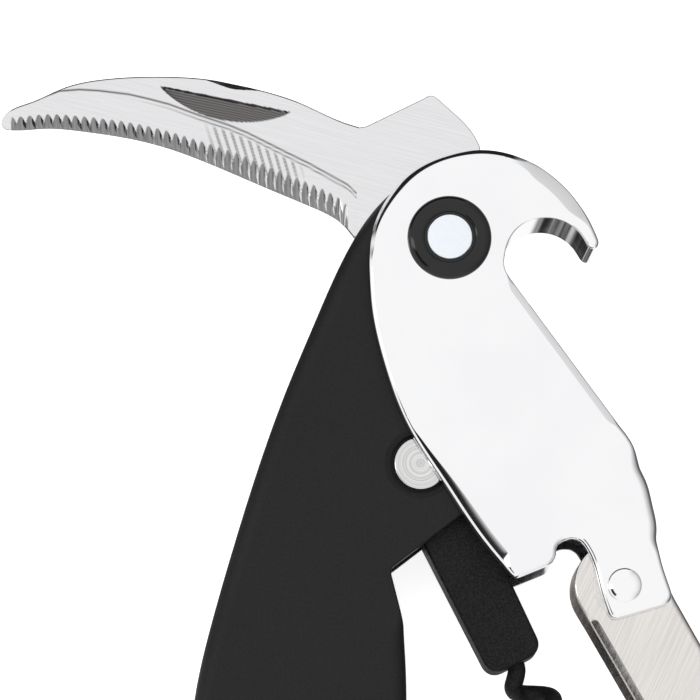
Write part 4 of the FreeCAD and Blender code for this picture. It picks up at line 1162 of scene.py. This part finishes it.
@dataclass
class Worm:
    """The coated hub and the open helix that runs out of it to a sharp point."""

    low: float = 5.6
    high: float = 12.0
    angle: float = 296.0
    length: float = 32.0
    half_width: float = 4.8
    end_half: float = 4.3
    wire: float = 1.3
    radius: float = 2.7
    turn_pitch: float = 9.0
    turns: float = 4.5
    lead: float = 4.32
    tip: float = 5.0

    def hub_outline(self) -> list[Stroke]:
        """Round about the pivot, tapering a little, with soft corners at the far end."""
        half, end, length = self.half_width, self.end_half, self.length

        def put(*points: Point) -> tuple[Point, ...]:
            return moved(list(points), self.angle, WORM_PIVOT)

        return [
            bend(*put((0.0, half), (-half, 0.0), (0.0, -half))),
            line(*put((0.0, -half), (length - 2.0, -end))),
            bend(*put((length - 2.0, -end), (length - 0.6, 0.6 - end), (length, 2.0 - end))),
            line(*put((length, 2.0 - end), (length, end - 2.0))),
            bend(*put((length, end - 2.0), (length - 0.6, end - 0.6), (length - 2.0, end))),
            line(*put((length - 2.0, end), (0.0, half))),
        ]

    def wire_path(self, count: int) -> tuple[np.ndarray, np.ndarray]:
        """The helix with its ramp out from the axis, and the wire's radius along it.

        The distance from the axis eases from nought to the worm's radius over the lead, the
        angle grows with the length, and the wire tapers to a point over the last stretch.
        """
        reach = self.lead + self.turn_pitch * self.turns + self.tip
        out = np.linspace(-1.0, reach, count)
        share = np.clip(out / self.lead, 0.0, 1.0)
        off = self.radius * share * share * (3.0 - 2.0 * share)
        angle = 2 * np.pi * np.clip(out - self.lead, -2.0, None) / self.turn_pitch
        thick = self.wire * np.clip((reach - out) / (self.tip * 1.6), 0.02, 1.0) ** 0.75
        axis = np.array([math.cos(math.radians(self.angle)), math.sin(math.radians(self.angle)), 0])
        side = np.array([-axis[1], axis[0], 0.0])
        start = np.array([*WORM_PIVOT, MIDDLE]) + self.length * axis
        path = start + out[:, None] * axis
        path = path + (off * np.sin(angle))[:, None] * side
        path = path - (off * np.cos(angle))[:, None] * np.array([0.0, 0.0, 1.0])
        return path, thick

    def tube(self, path: np.ndarray, thick: np.ndarray, sides: int = 24) -> bpy.types.Object:
        """A round tube about a path: rings square to it, turned about the hub's own direction."""
        ahead = np.gradient(path, axis=0)
        ahead /= np.linalg.norm(ahead, axis=1)[:, None]
        axis = np.array([math.cos(math.radians(self.angle)), math.sin(math.radians(self.angle)), 0])
        first = np.cross(ahead, np.cross(ahead, axis) + np.array([0.0, 0.0, 1e-6]))
        first /= np.maximum(np.linalg.norm(first, axis=1), 1e-9)[:, None]
        second = np.cross(ahead, first)
        angle = np.linspace(0.0, 2 * np.pi, sides, endpoint=False)[None, :, None]
        rings = path[:, None] + thick[:, None, None] * (
            np.cos(angle) * first[:, None] + np.sin(angle) * second[:, None])
        return ring_solid("worm_wire", rings)

    def build(self, wardrobe: Wardrobe) -> None:
        """Makes the hub and the worm."""
        loop = Loop.drawn(self.hub_outline(), soft=0.3)
        rim = Rim(np.full(len(loop.points), 0.4), np.full(len(loop.points), 0.2),
                  np.full(len(loop.points), 42.0))
        hub = slab("worm_hub_block", loop, self.low, self.high, rim, rim)
        cut_away(hub, [round_cutter("hub_bore", WORM_PIVOT, 3.05, 0.0, 18.0)])
        wardrobe.dress(shaded(hub), WORM_COAT, "worm", "worm_hub")
        wire = self.tube(*self.wire_path(900))
        wardrobe.dress(shaded(wire, 60.0), WORM_COAT, "worm", "worm")


@dataclass
class SecondStep:
    """The hinged step: two cheeks joined by a web on the outer side, and the rivet it turns on."""

    low: float = 3.2
    high: float = 14.4
    sheet: float = 1.0
    angle: float = 297.0

    def stroke(self, kind: Kind, *points: Point) -> Stroke:
        """A stroke drawn along the arm and carried to its place."""
        return Stroke(kind, moved(list(points), self.angle, STEP_PIVOT))

    def build(self, wardrobe: Wardrobe) -> None:
        """Makes the folded sheet and the rivet with its two domes."""
        arc_kind, run = Kind.ARC, Kind.LINE
        loop = Loop.drawn([
            self.stroke(arc_kind, (-2.38, 5.576), (-7.0, -0.6), (-4.6, -5.44)),
            self.stroke(arc_kind, (-4.6, -5.44), (-2.4, -6.596), (0.0, -6.8)),
            self.stroke(run, (0.0, -6.8), (31.0, -5.2)),
            self.stroke(arc_kind, (31.0, -5.2), (34.4, -5.9), (36.0, -8.4)),
            self.stroke(arc_kind, (36.0, -8.4), (37.5, -9.8), (39.0, -8.4)),
            self.stroke(run, (39.0, -8.4), (39.0, 4.2)),
            self.stroke(arc_kind, (39.0, 4.2), (38.1, 6.3), (36.0, 7.2)),
            self.stroke(run, (36.0, 7.2), (-2.38, 5.576)),
        ], soft=0.3)
        radius = np.full(len(loop.points), 0.28)
        web = loop.zone(*moved([(38.0, 6.3), (3.0, 5.8)], self.angle, STEP_PIVOT), 2.0)
        inner = loop.zone(*moved([(1.0, -6.8), (30.0, -5.3)], self.angle, STEP_PIVOT), 2.0)
        rim = Rim(radius + 0.9 * web, 1.0 * inner, 45.0 - 24.0 * inner).eased(loop)
        sheet = slab("step_channel", loop, self.low, self.high, rim, rim)
        channel = prism("channel_room", [
            self.stroke(run, (-12.0, 20.0), (4.0, 20.0), (4.0, 4.2), (35.8, 6.0), (43.0, 5.0),
                        (43.0, -20.0), (-12.0, -20.0), (-12.0, 20.0)),
        ], self.low + self.sheet, self.high - self.sheet)
        cut_away(sheet, [channel, round_cutter("step_hole", STEP_PIVOT, 1.95, 0.0, 18.0)])
        wardrobe.dress(shaded(sheet), STEP_STEEL, "second_step", "second_step_arm")
        dome = [(2.5 * math.sin(t), 16.4 + 0.8 * math.cos(t))
                for t in np.linspace(math.pi / 2, 0.008, 14)]
        upper = [(0.02, MIDDLE), (1.9, MIDDLE), (1.9, 16.3), (2.5, 16.3), *dome]
        rivet = turned_solid("step_rivet", mirrored(upper)[:-1] + upper[1:], STEP_PIVOT)
        wardrobe.dress(shaded(rivet), CHROME, "lever", "second_step_rivet")


# ---------------------------------------------------------------- studio


@dataclass
class Studio:
    """Floor, daylight box, lamp and camera."""

    sight: tuple[float, float, float] = (0.0454, 0.1379, -1.0)
    target: tuple[float, float, float] = (-14.4, -16.5, 16.4)
    distance: float = 1300.0
    lens: float = 463.3

    def camera(self) -> None:
        """A long lens straight over the tool, leaning a little from below."""
        data = bpy.data.cameras.new("camera")
        data.lens = self.lens
        data.sensor_width = 36.0
        data.clip_start = 0.01
        data.clip_end = 20.0
        ahead = np.array(self.sight)
        ahead /= np.linalg.norm(ahead)
        right = np.cross(ahead, (0.0, 1.0, 0.0))
        right /= np.linalg.norm(right)
        up = np.cross(right, ahead)
        place = (np.array(self.target) - ahead * self.distance) * MM
        body = bpy.data.objects.new("camera", data)
        turn = np.column_stack([right, up, -ahead])
        matrix = np.eye(4)
        matrix[:3, :3] = turn
        matrix[:3, 3] = place
        bpy.context.scene.collection.objects.link(body)
        body.matrix_world = Matrix(matrix.tolist())
        bpy.context.scene.camera = body

    def floor(self) -> None:
        """A plain white sheet that shows only a soft shadow."""
        corners = np.array([[-2000, -2000, -0.02], [2000, -2000, -0.02], [2000, 2000, -0.02],
                            [-2000, 2000, -0.02]], dtype=float)
        sheet = new_mesh_piece("floor", corners, [(0, 1, 2, 3)])
        made = bpy.data.materials.new("floor_paper")
        made.use_nodes = True
        made.node_tree.nodes.clear()
        nodes = Nodes(made.node_tree)
        shader = nodes.add("ShaderNodeBsdfPrincipled")
        output = nodes.add("ShaderNodeOutputMaterial")
        nodes.join(shader.outputs[0], output.inputs[0])
        shader.inputs["Base Color"].default_value = (0.8, 0.8, 0.8, 1.0)
        shader.inputs["Roughness"].default_value = 1.0
        shader.inputs["Specular IOR Level"].default_value = 0.0
        path = nodes.add("ShaderNodeLightPath")
        glow = nodes.math("MULTIPLY", path.outputs["Is Camera Ray"], 0.75)
        nodes.join(glow, shader.inputs["Emission Strength"])
        shader.inputs["Emission Color"].default_value = (1.0, 1.0, 1.0, 1.0)
        sheet.data.materials.append(made)
        sheet.visible_glossy = False

    def daylight(self) -> None:
        """White all round for the surfaces, with the dark flags that shape the bright metal."""
        world = bpy.data.worlds.new("daylight")
        bpy.context.scene.world = world
        world.use_nodes = True
        world.node_tree.nodes.clear()
        nodes = Nodes(world.node_tree)
        place = nodes.add("ShaderNodeTexCoord")
        split = nodes.add("ShaderNodeSeparateXYZ")
        nodes.join(place.outputs["Generated"], split.inputs[0])
        x, y, z = split.outputs
        azimuth = nodes.math("ARCTAN2", y, x)
        around = nodes.range(z, -0.93, -0.85)
        top_side = nodes.math("MULTIPLY", nodes.range(azimuth, 1.0, 1.25),
                              nodes.range(azimuth, 2.9, 2.65))
        top_dark = nodes.math("MULTIPLY", top_side, nodes.range(z, 0.36, 0.24))
        right_side = nodes.math("MULTIPLY", nodes.range(azimuth, -1.2, -0.5),
                                nodes.range(azimuth, 1.25, 1.0))
        right_dark = nodes.math("MULTIPLY", right_side, nodes.range(z, 0.9, -0.35, 0.0, 0.9, False))
        mottle = nodes.add("ShaderNodeTexNoise")
        mottle.inputs["Scale"].default_value = 14.0
        nodes.join(place.outputs["Generated"], mottle.inputs["Vector"])
        under = nodes.math("MULTIPLY", nodes.range(x, -0.24, -0.18), nodes.range(x, 0.13, 0.10))
        under = nodes.math("MULTIPLY", under, nodes.range(z, -0.85, -0.93))
        under = nodes.math("MULTIPLY", under, nodes.range(mottle.outputs[0], 0.3, 0.6, 0.45, 1.0))
        behind = nodes.math("MULTIPLY", nodes.range(azimuth, -2.98, -2.88),
                            nodes.range(azimuth, -2.2, -2.35))
        high = nodes.math("MULTIPLY", nodes.range(z, 0.55, 0.62), nodes.range(z, 0.88, 0.80))
        patch = nodes.math("MULTIPLY", behind, high)
        sides = nodes.math("MULTIPLY", nodes.math("MAXIMUM", top_dark, right_dark), around)
        dark = nodes.math("MAXIMUM", nodes.math("MAXIMUM", sides, patch), under)
        bright = nodes.math("SUBTRACT", 1.0, nodes.math("MULTIPLY", dark, 0.985))
        path = nodes.add("ShaderNodeLightPath")
        soft = nodes.math("MULTIPLY", path.outputs["Is Diffuse Ray"], 0.1)
        strip = nodes.math("MULTIPLY", nodes.range(nodes.math("ABSOLUTE", azimuth), 2.95, 3.05),
                           nodes.range(z, 0.3, 0.4))
        strip = nodes.math("MULTIPLY", nodes.math("MULTIPLY", strip, nodes.range(z, 0.85, 0.78)),
                           2.2)
        lit = nodes.math("ADD", nodes.math("ADD", bright, soft), strip)
        level = nodes.math("MAXIMUM", lit, path.outputs["Is Camera Ray"])
        background = nodes.add("ShaderNodeBackground")
        background.inputs["Color"].default_value = (1.0, 1.0, 1.0, 1.0)
        nodes.join(level, background.inputs["Strength"])
        output = nodes.add("ShaderNodeOutputWorld")
        nodes.join(background.outputs[0], output.inputs[0])

    def lamp(self) -> None:
        """One broad soft lamp overhead, to the upper left."""
        data = bpy.data.lights.new("softbox", "AREA")
        data.shape = "SQUARE"
        data.size = 0.8
        data.energy = 2.5
        lamp = bpy.data.objects.new("softbox", data)
        bpy.context.scene.collection.objects.link(lamp)
        lamp.location = (-0.45, 0.35, 1.1)
        lamp.rotation_euler = (math.radians(-18.0), math.radians(-22.0), 0.0)
        lamp.visible_glossy = False
        lamp.visible_camera = False

    def build(self) -> None:
        """Sets the whole studio up."""
        self.camera()
        self.floor()
        self.daylight()
        self.lamp()
        scene = bpy.context.scene
        scene.view_settings.view_transform = "Standard"


KEPT_NODES = {
    "body_screws": PIN_STEEL, "blade_washers": POLYMER, "blade_stop_pin": SPRING_STEEL,
    "blade_spring": SPRING_STEEL, "blade_spring_pin": SPRING_STEEL, "lever_washers": POLYMER,
    "main_pivot_barrel": SPRING_STEEL, "main_pivot_screw": SPRING_STEEL,
    "worm_pivot_bush": BUSH_BRASS, "worm_washers": POLYMER, "worm_roll_pin": SPRING_STEEL,
    "second_step_washers": POLYMER,
}


def main() -> None:
    """Loads the frame, builds and dresses every piece."""
    logging.basicConfig(level=logging.INFO, format="%(message)s")
    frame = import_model()
    wardrobe = Wardrobe()
    Studio().build()
    for assembly in (Lever(), Eye(), Handle(), Blade(), WormPivot(), Worm(), SecondStep()):
        assembly.build(wardrobe)
    for name, finish in KEPT_NODES.items():
        wardrobe.dress_node(frame["nodes"][name], finish)
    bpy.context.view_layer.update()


if __name__ == "__main__":
    main()
